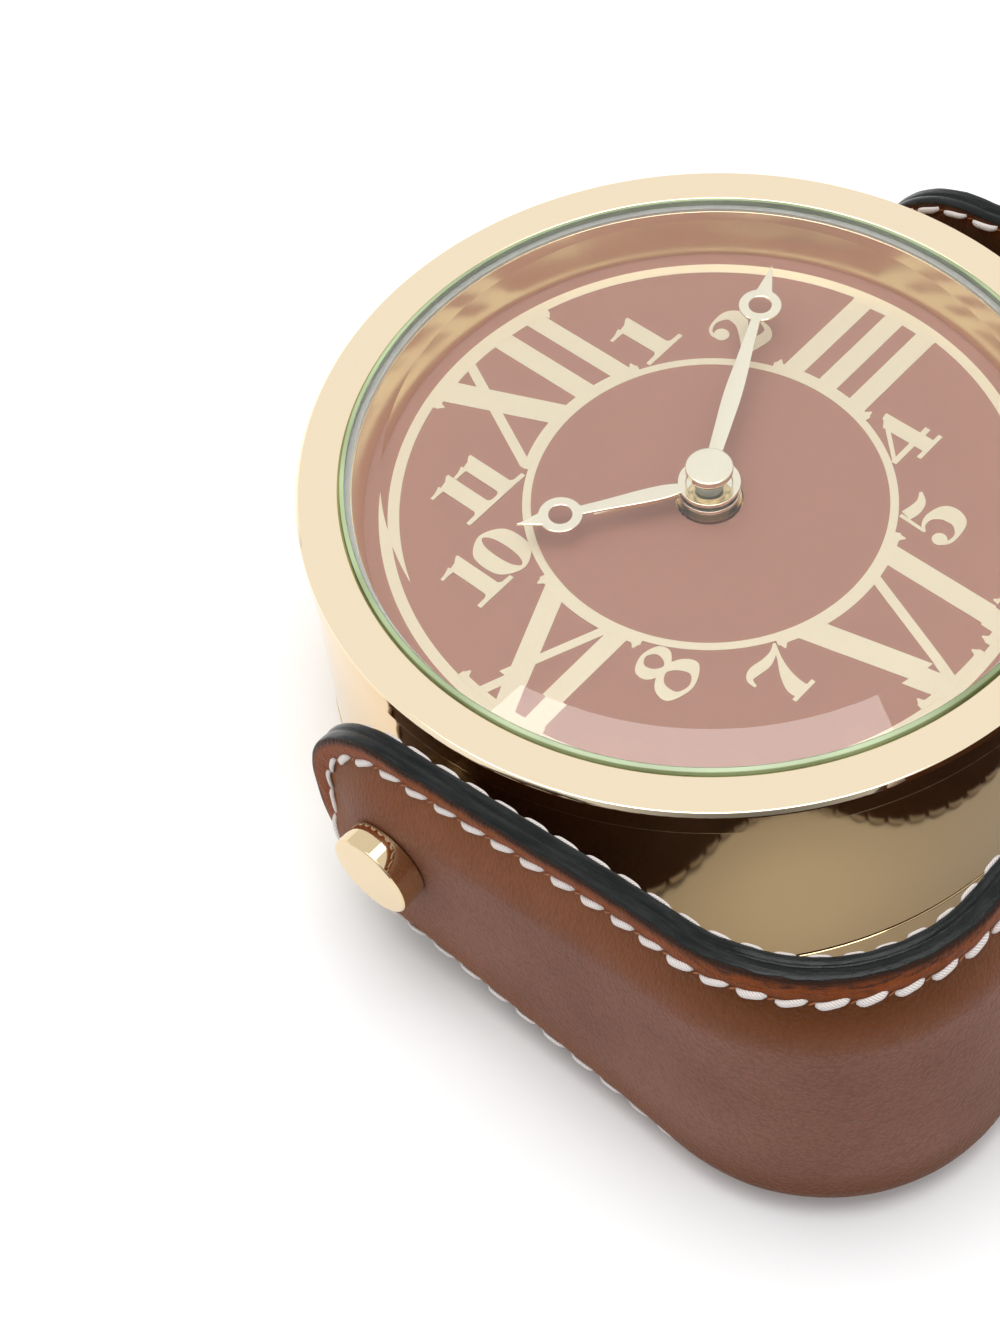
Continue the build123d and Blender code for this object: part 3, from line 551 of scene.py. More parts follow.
def drum_pieces():
    """Bezel, glass, reflector, drum wall and rear ring."""
    lip = GLASS_LOW + 0.8
    bezel = turned_piece("bezel_polished", [
        (BEZEL_R - 0.15, BEZEL_LOW, 0.05),
        (BEZEL_R, BEZEL_LOW + 0.15, 0.1),
        (BEZEL_R, BEZEL_TOP - 0.35, 0.15),
        (BEZEL_R - 0.35, BEZEL_TOP, 0.15),
        (OPENING_R + 0.22, BEZEL_TOP, 0.12),
        (OPENING_R, BEZEL_TOP - 0.22, 0.12),
        (OPENING_R, lip),
        (34.9, lip),
        (34.9, BEZEL_LOW),
        (35.4, 26.7),
        (35.4, 24.6),
        (36.2, 24.6),
        (36.2, BEZEL_LOW),
    ], GILT, "clock", ["bezel_ring"], radius=0.06)
    bezel.data.materials.append(SHADED_DRUM_GILT)
    # the bezel's walls take the darker, shaded copy of the gilt, a painted shade, and only its top and
    # rounded edges keep the pale gilt
    for face in bezel.data.polygons:
        if face.center.z < (BEZEL_TOP - BEZEL_RIM) * MM:
            face.material_index = 1
    turned_piece("crystal_glass", [
        (0, GLASS_LOW + 0.04),
        (GLASS_R, GLASS_LOW + 0.04),
        (GLASS_R, GLASS_LOW + 1.76, 0.05),
        (GLASS_FACE_R, GLASS_TOP, 0.25),
        (0, GLASS_TOP),
    ], GLASS, "clock", ["crystal"], radius=0.05, closed=False)
    turned_piece("crystal_ground_rim", [
        (GROUND_R, GLASS_LOW + 0.04),
        (34.75, GLASS_LOW + 0.04),
        (34.75, GLASS_LOW + 0.7),
        (GROUND_OUT_R, GLASS_LOW + 0.7),
        (GROUND_OUT_R, GLASS_LOW + 1.66, 0.10),
        (GROUND_R, GLASS_LOW + 1.75, 0.05),
    ], GLASS_RIM, "clock", radius=0.04)
    turned_piece("reflector_polished", [
        (31.4, DIAL_Z),
        (35.2, DIAL_Z),
        (35.2, 26.5),
        (34.7, 26.5),
        (34.7, high("reflector_ring")),
        (32.6, high("reflector_ring")),
    ], GILT_SOFT, "clock", ["reflector_ring"], radius=0.1)
    turned_piece("drum_wall", [
        (DRUM_R - 0.15, SEAM_Z + 0.2),
        (DRUM_R, SEAM_Z + 0.35),
        (DRUM_R, high("case_drum")),
        (36.25, high("case_drum")),
        (36.25, 24.4),
        (CASE_INNER_R, 24.4),
        (CASE_INNER_R, 20.6),
        (34.0, 20.6),
        (34.0, 19.6),
        (CASE_INNER_R, 18.1),
        (CASE_INNER_R, SEAM_Z + 0.2),
    ], SHADED_DRUM_GILT, "clock", ["case_drum"], radius=0.05)
    turned_piece("rear_ring_turned", [
        (DRUM_R, 0.75, 0.5),
        (DRUM_R, SEAM_Z - 0.32, 0.03),
        (DRUM_R + RING_BEAD, SEAM_Z - 0.22, 0.05),
        (DRUM_R + RING_BEAD, SEAM_Z - 0.06, 0.05),
        (DRUM_R - 0.15, SEAM_Z),
        (35.45, SEAM_Z),
        (35.45, SEAM_Z + 2.4),
        (34.8, SEAM_Z + 2.4),
        (34.8, SEAM_Z - 0.1),
        (35.3, SEAM_Z - 0.1),
        (35.3, 3.0),
        (33.5, 3.0),
        (33.5, 0.4, 0.2),
        (33.9, 0.0, 0.2),
        (DRUM_R - 0.75, 0.0, 0.5),
    ], SHADED_DRUM_GILT, "clock", ["rear_ring"], radius=0.06)


# ---------------------------------------------------------------- dial

def bar(x0, y0, x1, y1, start_width, end_width=None):
    """A straight stroke with its own width at each end."""
    end_width = start_width if end_width is None else end_width
    length = math.hypot(x1 - x0, y1 - y0)
    nx, ny = -(y1 - y0) / length, (x1 - x0) / length
    a, b = start_width / 2, end_width / 2
    corners = ((x0, y0, a), (x1, y1, b), (x1, y1, -b), (x0, y0, -a))
    return [(x + nx * side, y + ny * side) for x, y, side in corners]


def circle(x, y, r, count=24):
    """A round outline."""
    angles = [2 * math.pi * i / count for i in range(count)]
    return [(x + r * math.cos(angle), y + r * math.sin(angle)) for angle in angles]


def spline_points(knots, steps=8, closed=False):
    """Catmull-Rom points through knots of any length."""
    knots = [np.array(k, float) for k in knots]
    count = len(knots)
    result = []
    for i in range(count if closed else count - 1):
        if closed:
            p = [knots[(i + n - 1) % count] for n in range(4)]
        else:
            p = [knots[max(i - 1, 0)], knots[i], knots[i + 1], knots[min(i + 2, count - 1)]]
        for step in range(steps):
            t = step / steps
            square = (2 * p[0] - 5 * p[1] + 4 * p[2] - p[3]) * t * t
            cube = (3 * p[1] - p[0] - 3 * p[2] + p[3]) * t ** 3
            result.append(0.5 * (2 * p[1] + (p[2] - p[0]) * t + square + cube))
    if not closed:
        result.append(knots[-1])
    return result


def smooth_loop(*knots):
    """A smooth closed outline through knots."""
    return [tuple(p) for p in spline_points(knots, closed=True)]


def brush(knots):
    """A pen stroke through (x, y, width) knots."""
    path = spline_points(knots)
    left, right = [], []
    for i, (x, y, width) in enumerate(path):
        ahead = path[min(i + 1, len(path) - 1)]
        behind = path[max(i - 1, 0)]
        dx, dy = ahead[0] - behind[0], ahead[1] - behind[1]
        length = math.hypot(dx, dy) or 1.0
        nx, ny = -dy / length * width / 2, dx / length * width / 2
        left.append((x + nx, y + ny))
        right.append((x - nx, y - ny))
    return left + right[::-1]


def numeral_one():
    """Strokes of a 1 in a box 0.86 wide and 1 high."""
    return [
        [[(0.28, 0.05), (0.60, 0.05), (0.60, 1.0), (0.55, 1.0), (0.44, 0.93), (0.28, 0.90)]],
        [brush([(0.02, 0.86, 0.05), (0.14, 0.87, 0.06), (0.30, 0.89, 0.12)])],
        [[(0.0, 0.0), (0.86, 0.0), (0.86, 0.07), (0.66, 0.08), (0.58, 0.14), (0.30, 0.14),
          (0.22, 0.08), (0.0, 0.07)]],
    ]


def numeral_two():
    """Strokes of a 2 in a box 0.88 wide and 1 high."""
    return [
        [brush([(0.17, 0.72, 0.16), (0.10, 0.80, 0.06), (0.18, 0.92, 0.05), (0.38, 0.97, 0.06),
                (0.60, 0.90, 0.18), (0.68, 0.73, 0.28), (0.58, 0.55, 0.20), (0.34, 0.34, 0.10),
                (0.12, 0.16, 0.06)])],
        [circle(0.20, 0.70, 0.13)],
        [brush([(0.06, 0.04, 0.05), (0.20, 0.14, 0.18), (0.40, 0.12, 0.22), (0.62, 0.08, 0.20),
                (0.78, 0.16, 0.10), (0.85, 0.34, 0.05)])],
    ]


def numeral_four():
    """Strokes of a 4 in a box 0.93 wide and 1 high."""
    return [
        [[(0.50, 0.05), (0.78, 0.05), (0.78, 1.0), (0.72, 1.0), (0.50, 0.86)]],
        [bar(0.70, 0.97, 0.04, 0.30, 0.07, 0.06)],
        [[(0.0, 0.24), (0.93, 0.24), (0.93, 0.33), (0.0, 0.33)]],
        [[(0.34, 0.0), (0.93, 0.0), (0.93, 0.07), (0.34, 0.07)]],
    ]


def numeral_five():
    """Strokes of a 5 in a box 0.83 wide and 1 high."""
    return [
        [brush([(0.22, 0.90, 0.20), (0.40, 0.86, 0.20), (0.60, 0.88, 0.14), (0.76, 1.0, 0.04)])],
        [bar(0.17, 0.97, 0.14, 0.48, 0.06, 0.05)],
        [brush([(0.13, 0.48, 0.04), (0.26, 0.58, 0.06), (0.46, 0.58, 0.14), (0.66, 0.42, 0.30),
                (0.64, 0.18, 0.26), (0.42, 0.04, 0.08), (0.20, 0.05, 0.06), (0.09, 0.16, 0.07)])],
        [circle(0.16, 0.20, 0.12)],
    ]


def numeral_seven():
    """Strokes of a 7 in a box 0.85 wide and 1 high."""
    return [
        [brush([(0.03, 0.70, 0.04), (0.08, 0.86, 0.10), (0.24, 0.90, 0.19), (0.48, 0.86, 0.18),
                (0.70, 0.90, 0.10), (0.86, 1.0, 0.04)])],
        [brush([(0.83, 0.97, 0.05), (0.68, 0.74, 0.07), (0.52, 0.48, 0.18), (0.42, 0.22, 0.28),
                (0.42, 0.06, 0.28)])],
        [[(0.20, 0.0), (0.68, 0.0), (0.68, 0.07), (0.20, 0.07)]],
    ]


def numeral_eight():
    """Strokes of an 8 in a box 0.88 wide and 1 high."""
    upper = [
        smooth_loop((0.44, 1.0), (0.74, 0.90), (0.76, 0.68), (0.46, 0.50), (0.14, 0.64), (0.14, 0.88)),
        smooth_loop((0.46, 0.94), (0.60, 0.84), (0.58, 0.68), (0.48, 0.60), (0.34, 0.70), (0.32, 0.86)),
    ]
    lower = [
        smooth_loop((0.44, 0.60), (0.78, 0.46), (0.86, 0.20), (0.46, 0.0), (0.03, 0.14), (0.08, 0.44)),
        smooth_loop((0.42, 0.50), (0.58, 0.38), (0.64, 0.18), (0.46, 0.06), (0.24, 0.14), (0.24, 0.38)),
    ]
    return [upper, lower]


def numeral_zero():
    """A 0 in a box 0.84 wide and 1 high."""
    outer = smooth_loop((0.42, 1.0), (0.76, 0.82), (0.84, 0.5), (0.76, 0.18), (0.42, 0.0),
                        (0.08, 0.18), (0.0, 0.5), (0.08, 0.82))
    inner = smooth_loop((0.42, 0.94), (0.52, 0.80), (0.55, 0.5), (0.52, 0.20), (0.42, 0.06),
                        (0.32, 0.20), (0.29, 0.5), (0.32, 0.80))
    return [[outer, inner]]


def placed(strokes, x, y, width, height, own_width):
    """Scales a numeral's strokes from its own box to a box on the dial with its corner at x, y."""
    scale = width / own_width

    def moved(outline):
        return [(x + px * scale, y + py * height) for px, py in outline]

    return [[moved(outline) for outline in shape] for shape in strokes]


RING_IN = (16.6, 17.4)
RING_OUT = (28.9, 30.0)


def slab(angle, half, inside):
    """Serif slab along the inner or outer ring, with a small hook near each end."""
    ring, free = (RING_IN[1] - 0.1, RING_IN[1] + 0.5) if inside else (RING_OUT[0] + 0.1, RING_OUT[0] - 0.5)
    hook_at = half - (1.5 if inside else 0.8)
    spread = 0.7 if inside else 0.4
    lift = 0.55 if inside else -0.55
    steps = int(half / 0.12)
    near, away = [], []
    for step in range(steps + 1):
        turn = -half + 2 * half * step / steps
        clock = math.radians(angle + turn)
        radius = free + lift * math.exp(-((abs(turn) - hook_at) / spread) ** 2)
        near.append((ring * math.sin(clock), ring * math.cos(clock)))
        away.append((radius * math.sin(clock), radius * math.cos(clock)))
    return [[near + away[::-1]]]


# middle of each slab and half its length, in degrees, and whether it lies along the inner ring
SLABS = (
    (0.5, 27.5, True), (0.8, 16.5, False),
    (90, 18.5, True), (90, 9.6, False),
    (183.0, 28.0, True), (184.5, 8.0, False), (170.0, 4.6, False),
    (270.5, 19.5, True), (270, 9.6, False),
)


def roman_numerals():
    """XII, III, VI and IX: strokes from ring to ring with slabs along both rings."""
    shapes = [
        [[(-6.9, 28.2), (-4.3, 28.6), (0.7, 17.0), (-2.0, 17.0)]],
        [bar(-1.3, 29.2, -7.7, 16.0, 0.95)],
        [bar(2.8, 29.2, 2.8, 16.9, 2.15)],
        [bar(6.8, 28.6, 6.8, 15.6, 1.9)],
        [bar(16.8, 3.75, 29.0, 3.75, 2.0)],
        [bar(17.0, 0.0, 29.4, 0.0, 2.0)],
        [bar(16.8, -3.75, 29.0, -3.75, 2.0)],
        [[(-7.6, -15.8), (-5.0, -16.2), (-1.9, -29.2), (-4.3, -29.0)]],
        [bar(2.3, -16.9, -2.6, -29.2, 0.9)],
        [bar(5.05, -16.2, 5.05, -28.9, 2.2)],
        [[(-29.2, -1.9), (-29.4, 0.1), (-16.8, 5.3), (-16.9, 3.1)]],
        [bar(-29.2, 2.5, -16.8, -2.7, 0.8)],
        [bar(-29.0, -3.6, -16.8, -3.6, 1.9)],
    ]
    for angle, half, inside in SLABS:
        shapes += slab(angle, half, inside)
    return shapes


# numeral, its place on the dial (x, y), its width and height there, and the width of its own box
ARABIC = (
    (numeral_one, 9.25, 14.9, 4.9, 5.75, 0.86),
    (numeral_two, 15.5, 8.0, 5.0, 5.7, 0.88),
    (numeral_four, 13.9, -12.4, 5.3, 5.8, 0.93),
    (numeral_five, 8.3, -20.5, 4.7, 5.7, 0.83),
    (numeral_seven, -14.2, -20.3, 4.8, 5.3, 0.85),
    (numeral_eight, -20.2, -12.4, 5.0, 5.7, 0.88),
    (numeral_one, -22.8, 8.0, 4.4, 5.7, 0.86),
    (numeral_zero, -19.2, 8.0, 4.8, 5.65, 0.84),
    (numeral_one, -16.4, 15.2, 4.6, 5.7, 0.86),
    (numeral_one, -13.2, 15.2, 4.5, 5.7, 0.86),
)


def arabic_numerals():
    """The upright numbers between the Roman ones."""
    shapes = []
    for numeral, *box in ARABIC:
        shapes += placed(numeral(), *box)
    return shapes


def dial_pieces():
    """Dial disc, its two printed rings and its numerals."""
    turned_piece("dial_face", [
        (3.15, DIAL_Z - 0.4),
        (34.5, DIAL_Z - 0.4),
        (34.5, DIAL_Z),
        (3.15, DIAL_Z),
    ], DIAL, "clock", ["dial_plate"], radius=0.03)
    for name, (r0, r1) in (("dial_ring_inner", RING_IN), ("dial_ring_outer", RING_OUT)):
        turned_piece(name, [
            (r0, DIAL_Z - 0.02),
            (r1, DIAL_Z - 0.02),
            (r1, DIAL_Z + 0.035),
            (r0, DIAL_Z + 0.035),
        ], PRINT, "clock", radius=0.015, steps=2)
    shapes = roman_numerals() + arabic_numerals()
    points, faces = raised_shapes(shapes, DIAL_Z - 0.02, 0.065, 0.012, grow=0.03)
    add_piece("dial_numerals", points, faces, PRINT, "clock", smooth=False)


# ---------------------------------------------------------------- hands

HAND_RING_R = 2.05
HAND_HOLE_R = 1.1
HAND_THICK = 0.25
CAP_R = 2.2
SHARP_ANGLE = math.radians(35)
HOUR_ANGLE = 305.4
MINUTE_ANGLE = 64.2


def hand_outline(tip, ring_at, hub, swell, swell_at, neck, start):
    """Outline of a leaf-shaped hand with a ring and a spear point, and the ring's hole."""
    spear_from = ring_at + HAND_RING_R - 0.75
    along = np.concatenate([
        np.linspace(start, ring_at - HAND_RING_R, 40),
        np.linspace(ring_at - HAND_RING_R, ring_at + HAND_RING_R, 40)[1:],
        np.linspace(ring_at + HAND_RING_R, tip, 16)[1:],
    ])
    rising = (swell_at * 0.62, swell * 0.92)
    falling = (ring_at * 0.72, swell * 0.72)
    leaf = spline_points([(start, hub), rising, (swell_at, swell), falling, (ring_at, neck)], 12)
    leaf_t = [p[0] for p in leaf]
    leaf_w = [p[1] for p in leaf]
    half = []
    for t in along:
        width = float(np.interp(t, leaf_t, leaf_w)) if t < ring_at else 0.0
        round_part = HAND_RING_R ** 2 - (t - ring_at) ** 2
        if round_part > 0:
            width = max(width, math.sqrt(round_part))
        if t > spear_from:
            width = max(width, 0.9 * (tip - t) / (tip - spear_from))
        half.append(max(width, 0.012))
    right = [(w, t) for w, t in zip(half, along)]
    left = [(-w, t) for w, t in zip(reversed(half), reversed(list(along)))]
    return [right + left, circle(0, ring_at, HAND_HOLE_R, 40)]


def hand_piece(name, outline, degrees, z0, thick, body, replaced):
    """A bevelled hand turned clockwise from twelve, shaded smooth except at its sharp edges."""
    points, faces = raised_shapes([outline], z0, thick, 0.045)
    points = turn_points(points, -degrees)
    obj = add_piece(name, points, faces, GILT_HAND, body, replaced)
    obj.data.set_sharp_from_angle(angle=SHARP_ANGLE)


def hand_pieces():
    """Hour, minute and alarm hands with their hubs and the cap over the centre."""
    hour_z = high("hour_hand") - HAND_THICK
    minute_z = high("minute_hand") - HAND_THICK
    alarm_z = high("alarm_hand") - HAND_THICK
    hour = hand_outline(tip=18.25, ring_at=14.1, hub=0.42, swell=0.80, swell_at=6.0, neck=0.45, start=2.3)
    minute = hand_outline(tip=26.6, ring_at=21.2, hub=0.60, swell=0.87, swell_at=10.0, neck=0.37, start=0.5)
    alarm = [[(-0.35, 2.0), (0.35, 2.0), (0.2, 11.0), (-0.2, 11.0)]]
    hand_piece("hour_hand_leaf", hour, HOUR_ANGLE, hour_z, HAND_THICK, "hour_hand", ["hour_hand"])
    hand_piece("minute_hand_leaf", minute, MINUTE_ANGLE, minute_z, HAND_THICK, "minute_hand", ["minute_hand"])
    hand_piece("alarm_hand_leaf", alarm, HOUR_ANGLE, alarm_z, 0.2, "alarm_hand", ["alarm_hand"])
    turned_piece("hour_hand_hub", [
        (1.32, hour_z - 0.15),
        (2.9, hour_z - 0.15),
        (2.9, hour_z + 0.27),
        (2.15, hour_z + 0.27),
        (2.15, hour_z - 0.06),
        (1.32, hour_z - 0.06),
    ], GILT_HAND, "hour_hand", radius=0.05)
    turned_piece("alarm_hand_hub", [
        (1.92, alarm_z - 0.15),
        (2.9, alarm_z - 0.15),
        (2.9, alarm_z + 0.23),
        (1.92, alarm_z + 0.23),
    ], GILT_HAND, "alarm_hand", radius=0.06)
    turned_piece("minute_hand_hub", [
        (0.76, minute_z - 0.9),
        (1.5, minute_z - 0.9),
        (1.5, minute_z),
        (2.0, minute_z),
        (2.0, minute_z + 0.24),
        (0.76, minute_z + 0.24),
    ], GILT_HAND, "minute_hand", radius=0.04)
    cap_low = low("hand_cap")
    cap_top = high("hand_cap")
    turned_piece("hand_cap_turned", [
        (0, cap_low),
        (CAP_R, cap_low, 0.05),
        (CAP_R, cap_top, 0.14),
        (0, cap_top),
    ], GILT_HAND, "minute_hand", ["hand_cap"], closed=False)


# ---------------------------------------------------------------- leather stirrup

OUTER_X = reach("leather_outer")
MIDDLE = 3.2
MID_X = OUTER_X - MIDDLE
MID_Y = 48.1
MID_BEND = 16.0
TONGUE_END = 11.3
TONGUE_ROUND = 12.5
TONGUE_HALF = 13.9
BASE_HALF = 18.47
TAPER_START = -2.0
TAPER_END = -37.4
BAND_DROP = -1.0
TILT = math.radians(-3.0)
LINING_FACE = 1.02
LEAN_OUT = 0.44
ARM_LONG = TONGUE_END + MID_Y - MID_BEND
BEND_LONG = MID_BEND * math.pi / 2
BASE_LONG = 2 * (MID_X - MID_BEND)
BAND_LONG = 2 * ARM_LONG + 2 * BEND_LONG + BASE_LONG
STEP = 0.45
ROWS = 34

# (distance in from the edge, height above the middle of the band) over each leather's rim
OUTER_RIM = (
    (1.20, 0.15), (0.45, 0.45), (0.12, 0.80), (0.03, 1.02), (0.00, 1.14), (0.03, 1.25), (0.12, 1.36),
    (0.30, 1.45), (0.60, 1.50), (1.00, 1.50), (1.45, 1.44), (1.85, 1.35), (2.30, 1.28), (2.75, 1.36),
    (3.20, 1.42),
)
LINING_RIM = (
    (1.20, 0.00), (0.30, 0.20), (0.06, 0.50), (0.02, 0.66), (0.04, 0.76), (0.14, 0.87), (0.35, 0.97),
    (0.70, 1.03), (1.10, 0.97), (1.50, 1.03), (2.00, 1.05), (2.60, 1.05),
)
PAINT = (
    (0.40, 1.00), (0.03, 1.26), (-0.03, 1.19), (-0.06, 1.00), (-0.07, 0.70), (-0.06, 0.36), (0.0, 0.20),
    (0.14, 0.08), (0.02, -0.04), (-0.05, -0.20), (-0.07, -0.44), (-0.04, -0.64), (0.02, -0.78),
    (0.12, -0.88), (0.30, -0.97), (0.50, -0.92),
)


def ease(value, start, end):
    """Smooth step from 0 to 1 between two values."""
    t = min(1.0, max(0.0, (value - start) / (end - start)))
    return t * t * (3 - 2 * t)


def band_line(s):
    """Point and outward normal of the band's mid-line at a distance from the -X tongue's end."""
    mirrored = s > BAND_LONG / 2
    if mirrored:
        s = BAND_LONG - s
    if s < ARM_LONG:
        x, y, nx, ny = -MID_X, TONGUE_END - s, -1.0, 0.0
    elif s < ARM_LONG + BEND_LONG:
        angle = (s - ARM_LONG) / MID_BEND
        nx, ny = -math.cos(angle), -math.sin(angle)
        x = -MID_X + MID_BEND + MID_BEND * nx
        y = -MID_Y + MID_BEND + MID_BEND * ny
    else:
        x, y, nx, ny = -MID_X + MID_BEND + (s - ARM_LONG - BEND_LONG), -MID_Y, 0.0, -1.0
    return (-x, y, -nx, ny) if mirrored else (x, y, nx, ny)


def on_band(s, z, offset):
    """Drum-centred point at a place on the unrolled band and an offset outwards from its middle."""
    x, y, nx, ny = band_line(s)
    x += nx * offset
    y += ny * offset
    up = z + BAND_DROP
    return (x, y * math.cos(TILT) - up * math.sin(TILT), PIVOT_Z + y * math.sin(TILT) + up * math.cos(TILT))


def half_width(s):
    """Half the band's width at a distance along it, away from its rounded ends."""
    y = band_line(s)[1]
    if y > TAPER_START:
        return TONGUE_HALF
    if y < TAPER_END:
        return BASE_HALF
    return TONGUE_HALF + (BASE_HALF - TONGUE_HALF) * (TAPER_START - y) / (TAPER_START - TAPER_END)


def bend_weight(s):
    """How much a place along the band is in a bend: 1 at the middle of one and 0 away from both."""
    away = min(s, BAND_LONG - s) - ARM_LONG - BEND_LONG / 2
    return 1 - ease(abs(away), 0.0, BEND_LONG * 0.95)


def lean(s, z):
    """Outward shift of the upper edge in the bends."""
    return LEAN_OUT * bend_weight(s) * ease(z, -5.0, 5.0)


def swell(s, z, inset):
    """How far the face has swollen towards the middle of the band; it curls under faster below."""
    below = ease(-z, -3.0, 5.0)
    start = 2.5 + (0.2 + 1.4 * bend_weight(s) - 2.5) * below
    return ease(inset, start, 8.0 - 3.6 * below)


def surface(side, s, z, inset, level):
    """Offset of a leather's face: its rim's own level, swelling to the stuffed middle of the band."""
    rise = swell(s, z, inset)
    if side < 0:
        return (lean(s, z) - level) * (1 - rise) - LINING_FACE * rise
    bend = bend_weight(s)
    rim = level + lean(s, z) * (1 + 1.36 * ease(inset, 0.2, 2.3))
    return rim * (1 - rise) + (MIDDLE + 0.6 * bend) * rise


def upper_outline():
    """Evenly spaced (s, z) points along the band's upper edge, from one tongue's end to the other's."""
    raw = []
    for i in range(61):
        angle = math.pi / 2 * i / 60
        z = TONGUE_HALF - TONGUE_ROUND + TONGUE_ROUND * math.sin(angle)
        raw.append((TONGUE_ROUND * (1 - math.cos(angle)), z))
    for s in np.arange(TONGUE_ROUND + 0.4, BAND_LONG / 2, 0.4):
        raw.append((s, half_width(s)))
    raw.append((BAND_LONG / 2, half_width(BAND_LONG / 2)))
    raw = np.array(raw)
    raw = np.vstack([raw, np.column_stack([BAND_LONG - raw[-2::-1, 0], raw[-2::-1, 1]])])
    length = np.concatenate([[0], np.cumsum(np.hypot(*np.diff(raw, axis=0).T))])
    count = int(length[-1] / STEP) | 1
    even = np.linspace(0, length[-1], count)
    return np.column_stack([np.interp(even, length, raw[:, 0]), np.interp(even, length, raw[:, 1])])


def outline_loop():
    """The band's whole outline as a closed loop of (s, z) points with inward normals."""
    top = upper_outline()
    count = len(top)
    end = [top[0][1] * (1 - 2 * k / ROWS) for k in range(1, ROWS)]
    right = np.array([(BAND_LONG, z) for z in end])
    skirt = [max(0.0, TAPER_END - band_line(s)[1]) * math.tan(-TILT) for s in top[:, 0]]
    bottom = np.column_stack([top[:, 0], -top[:, 1] - skirt])[::-1]
    left = np.array([(0.0, -z) for z in end])
    loop = np.vstack([top, right, bottom, left])
    tangent = np.roll(loop, -1, axis=0) - np.roll(loop, 1, axis=0)
    for i in (0, count - 1, count + ROWS - 1, 2 * count + ROWS - 2):
        tangent[i] = (0, 1) if loop[i][0] < 1 else (0, -1)
    tangent /= np.linalg.norm(tangent, axis=1)[:, None]
    normal = np.column_stack([tangent[:, 1], -tangent[:, 0]])
    return loop, normal, count


LOOP, INWARD, TOP_COUNT = outline_loop()
BEND_CROWDING = 0.26


def loop_length(inset):
    """Distance along the loop at an inset, stretched in the bends: one value for each point and the total."""
    line = LOOP + INWARD * inset
    gaps = np.linalg.norm(np.roll(line, -1, axis=0) - line, axis=1)
    gaps *= [1 + BEND_CROWDING * bend_weight(s) for s in line[:, 0]]
    return np.concatenate([[0], np.cumsum(gaps)])


STITCH_PITCH = 3.35
STITCH_LONG = 2.78
STITCH_SLANT = 0.21
LOWER_STITCH_RISE = 1.0
STITCH_IN = {1: 2.3, -1: 0.95}
STITCH_LEVEL = {1: 1.28, -1: 0.97}
STITCH_LENGTH = {side: loop_length(STITCH_IN[side]) for side in (1, -1)}
STITCH_COUNT = int(round(STITCH_LENGTH[1][-1] / STITCH_PITCH))


def grid_index(i, k, base, inner):
    """Vertex number of a column and row of the leather's interior grid."""
    if k == 0:
        return base + i
    if k == ROWS:
        return base + TOP_COUNT + (ROWS - 1) + (TOP_COUNT - 1 - i)
    if i == TOP_COUNT - 1:
        return base + TOP_COUNT + k - 1
    if i == 0:
        return base + 2 * TOP_COUNT + (ROWS - 1) + (ROWS - 1 - k)
    return inner + (i - 1) * (ROWS - 1) + k - 1


def ripple(s, z, side):
    """Slight unevenness of a leather's face."""
    return 0.03 * noise.noise(Vector((s * 0.25, z * 0.25, side * 3.0)))


def leather_sheet(name, side, mat, node_name):
    """One leather of the band: side 1 is the outer leather and -1 the lining."""
    rings = OUTER_RIM if side > 0 else LINING_RIM
    count = len(LOOP)
    length = STITCH_LENGTH[side]
    phase = length[:-1] / length[-1] * STITCH_COUNT * 2 * math.pi
    flat = []
    edge = []
    for inset, level in rings:
        near_stitch = math.exp(-((inset - STITCH_IN[side]) / 0.5) ** 2)
        for i in range(count):
            s, z = LOOP[i] + INWARD[i] * inset
            dip = -0.08 * near_stitch * math.cos(phase[i]) if inset > 0.5 else 0.0
            wave = ripple(s, z, side) if inset > 0.3 else 0.0
            flat.append((s, z, surface(side, s, z, inset, level) + side * (dip + wave)))
            edge.append(inset)
    base = (len(rings) - 1) * count
    inner = len(flat)
    for i in range(1, TOP_COUNT - 1):
        s0, z0, _ = flat[grid_index(i, 0, base, inner)]
        s1, z1, _ = flat[grid_index(i, ROWS, base, inner)]
        for k in range(1, ROWS):
            t = k / ROWS
            s, z = s0 + (s1 - s0) * t, z0 + (z1 - z0) * t
            inset = float(np.min(np.hypot(LOOP[:, 0] - s, LOOP[:, 1] - z)))
            flat.append((s, z, surface(side, s, z, inset, rings[-1][1]) + side * ripple(s, z, side)))
            edge.append(inset)
    faces = []
    for ring in range(len(rings) - 1):
        for i in range(count):
            j = (i + 1) % count
            faces.append([ring * count + i, ring * count + j, (ring + 1) * count + j, (ring + 1) * count + i])
    for i in range(TOP_COUNT - 1):
        for k in range(ROWS):
            corner = [grid_index(i, k, base, inner), grid_index(i + 1, k, base, inner)]
            corner += [grid_index(i + 1, k + 1, base, inner), grid_index(i, k + 1, base, inner)]
            faces.append(corner)
    if side > 0:
        faces = [face[::-1] for face in faces]
    points = [on_band(s, z, offset) for s, z, offset in flat]
    obj = add_piece(name, points, faces, mat, "stirrup", [node_name])
    paint_band(obj, flat, edge)


def paint_band(obj, flat, edge):
    """Stores the unrolled position as UVs, the distance from the edge, and how bent the band is there."""
    flat = np.array(flat)
    set_uv(obj, "unrolled", flat[:, :2])
    set_amount(obj, "edge", edge)
    middle = ARM_LONG + BEND_LONG / 2
    away = np.minimum(abs(flat[:, 0] - middle), abs(BAND_LONG - flat[:, 0] - middle))
    set_amount(obj, "bend", np.clip(1.35 - away / (BEND_LONG * 0.75), 0, 1))


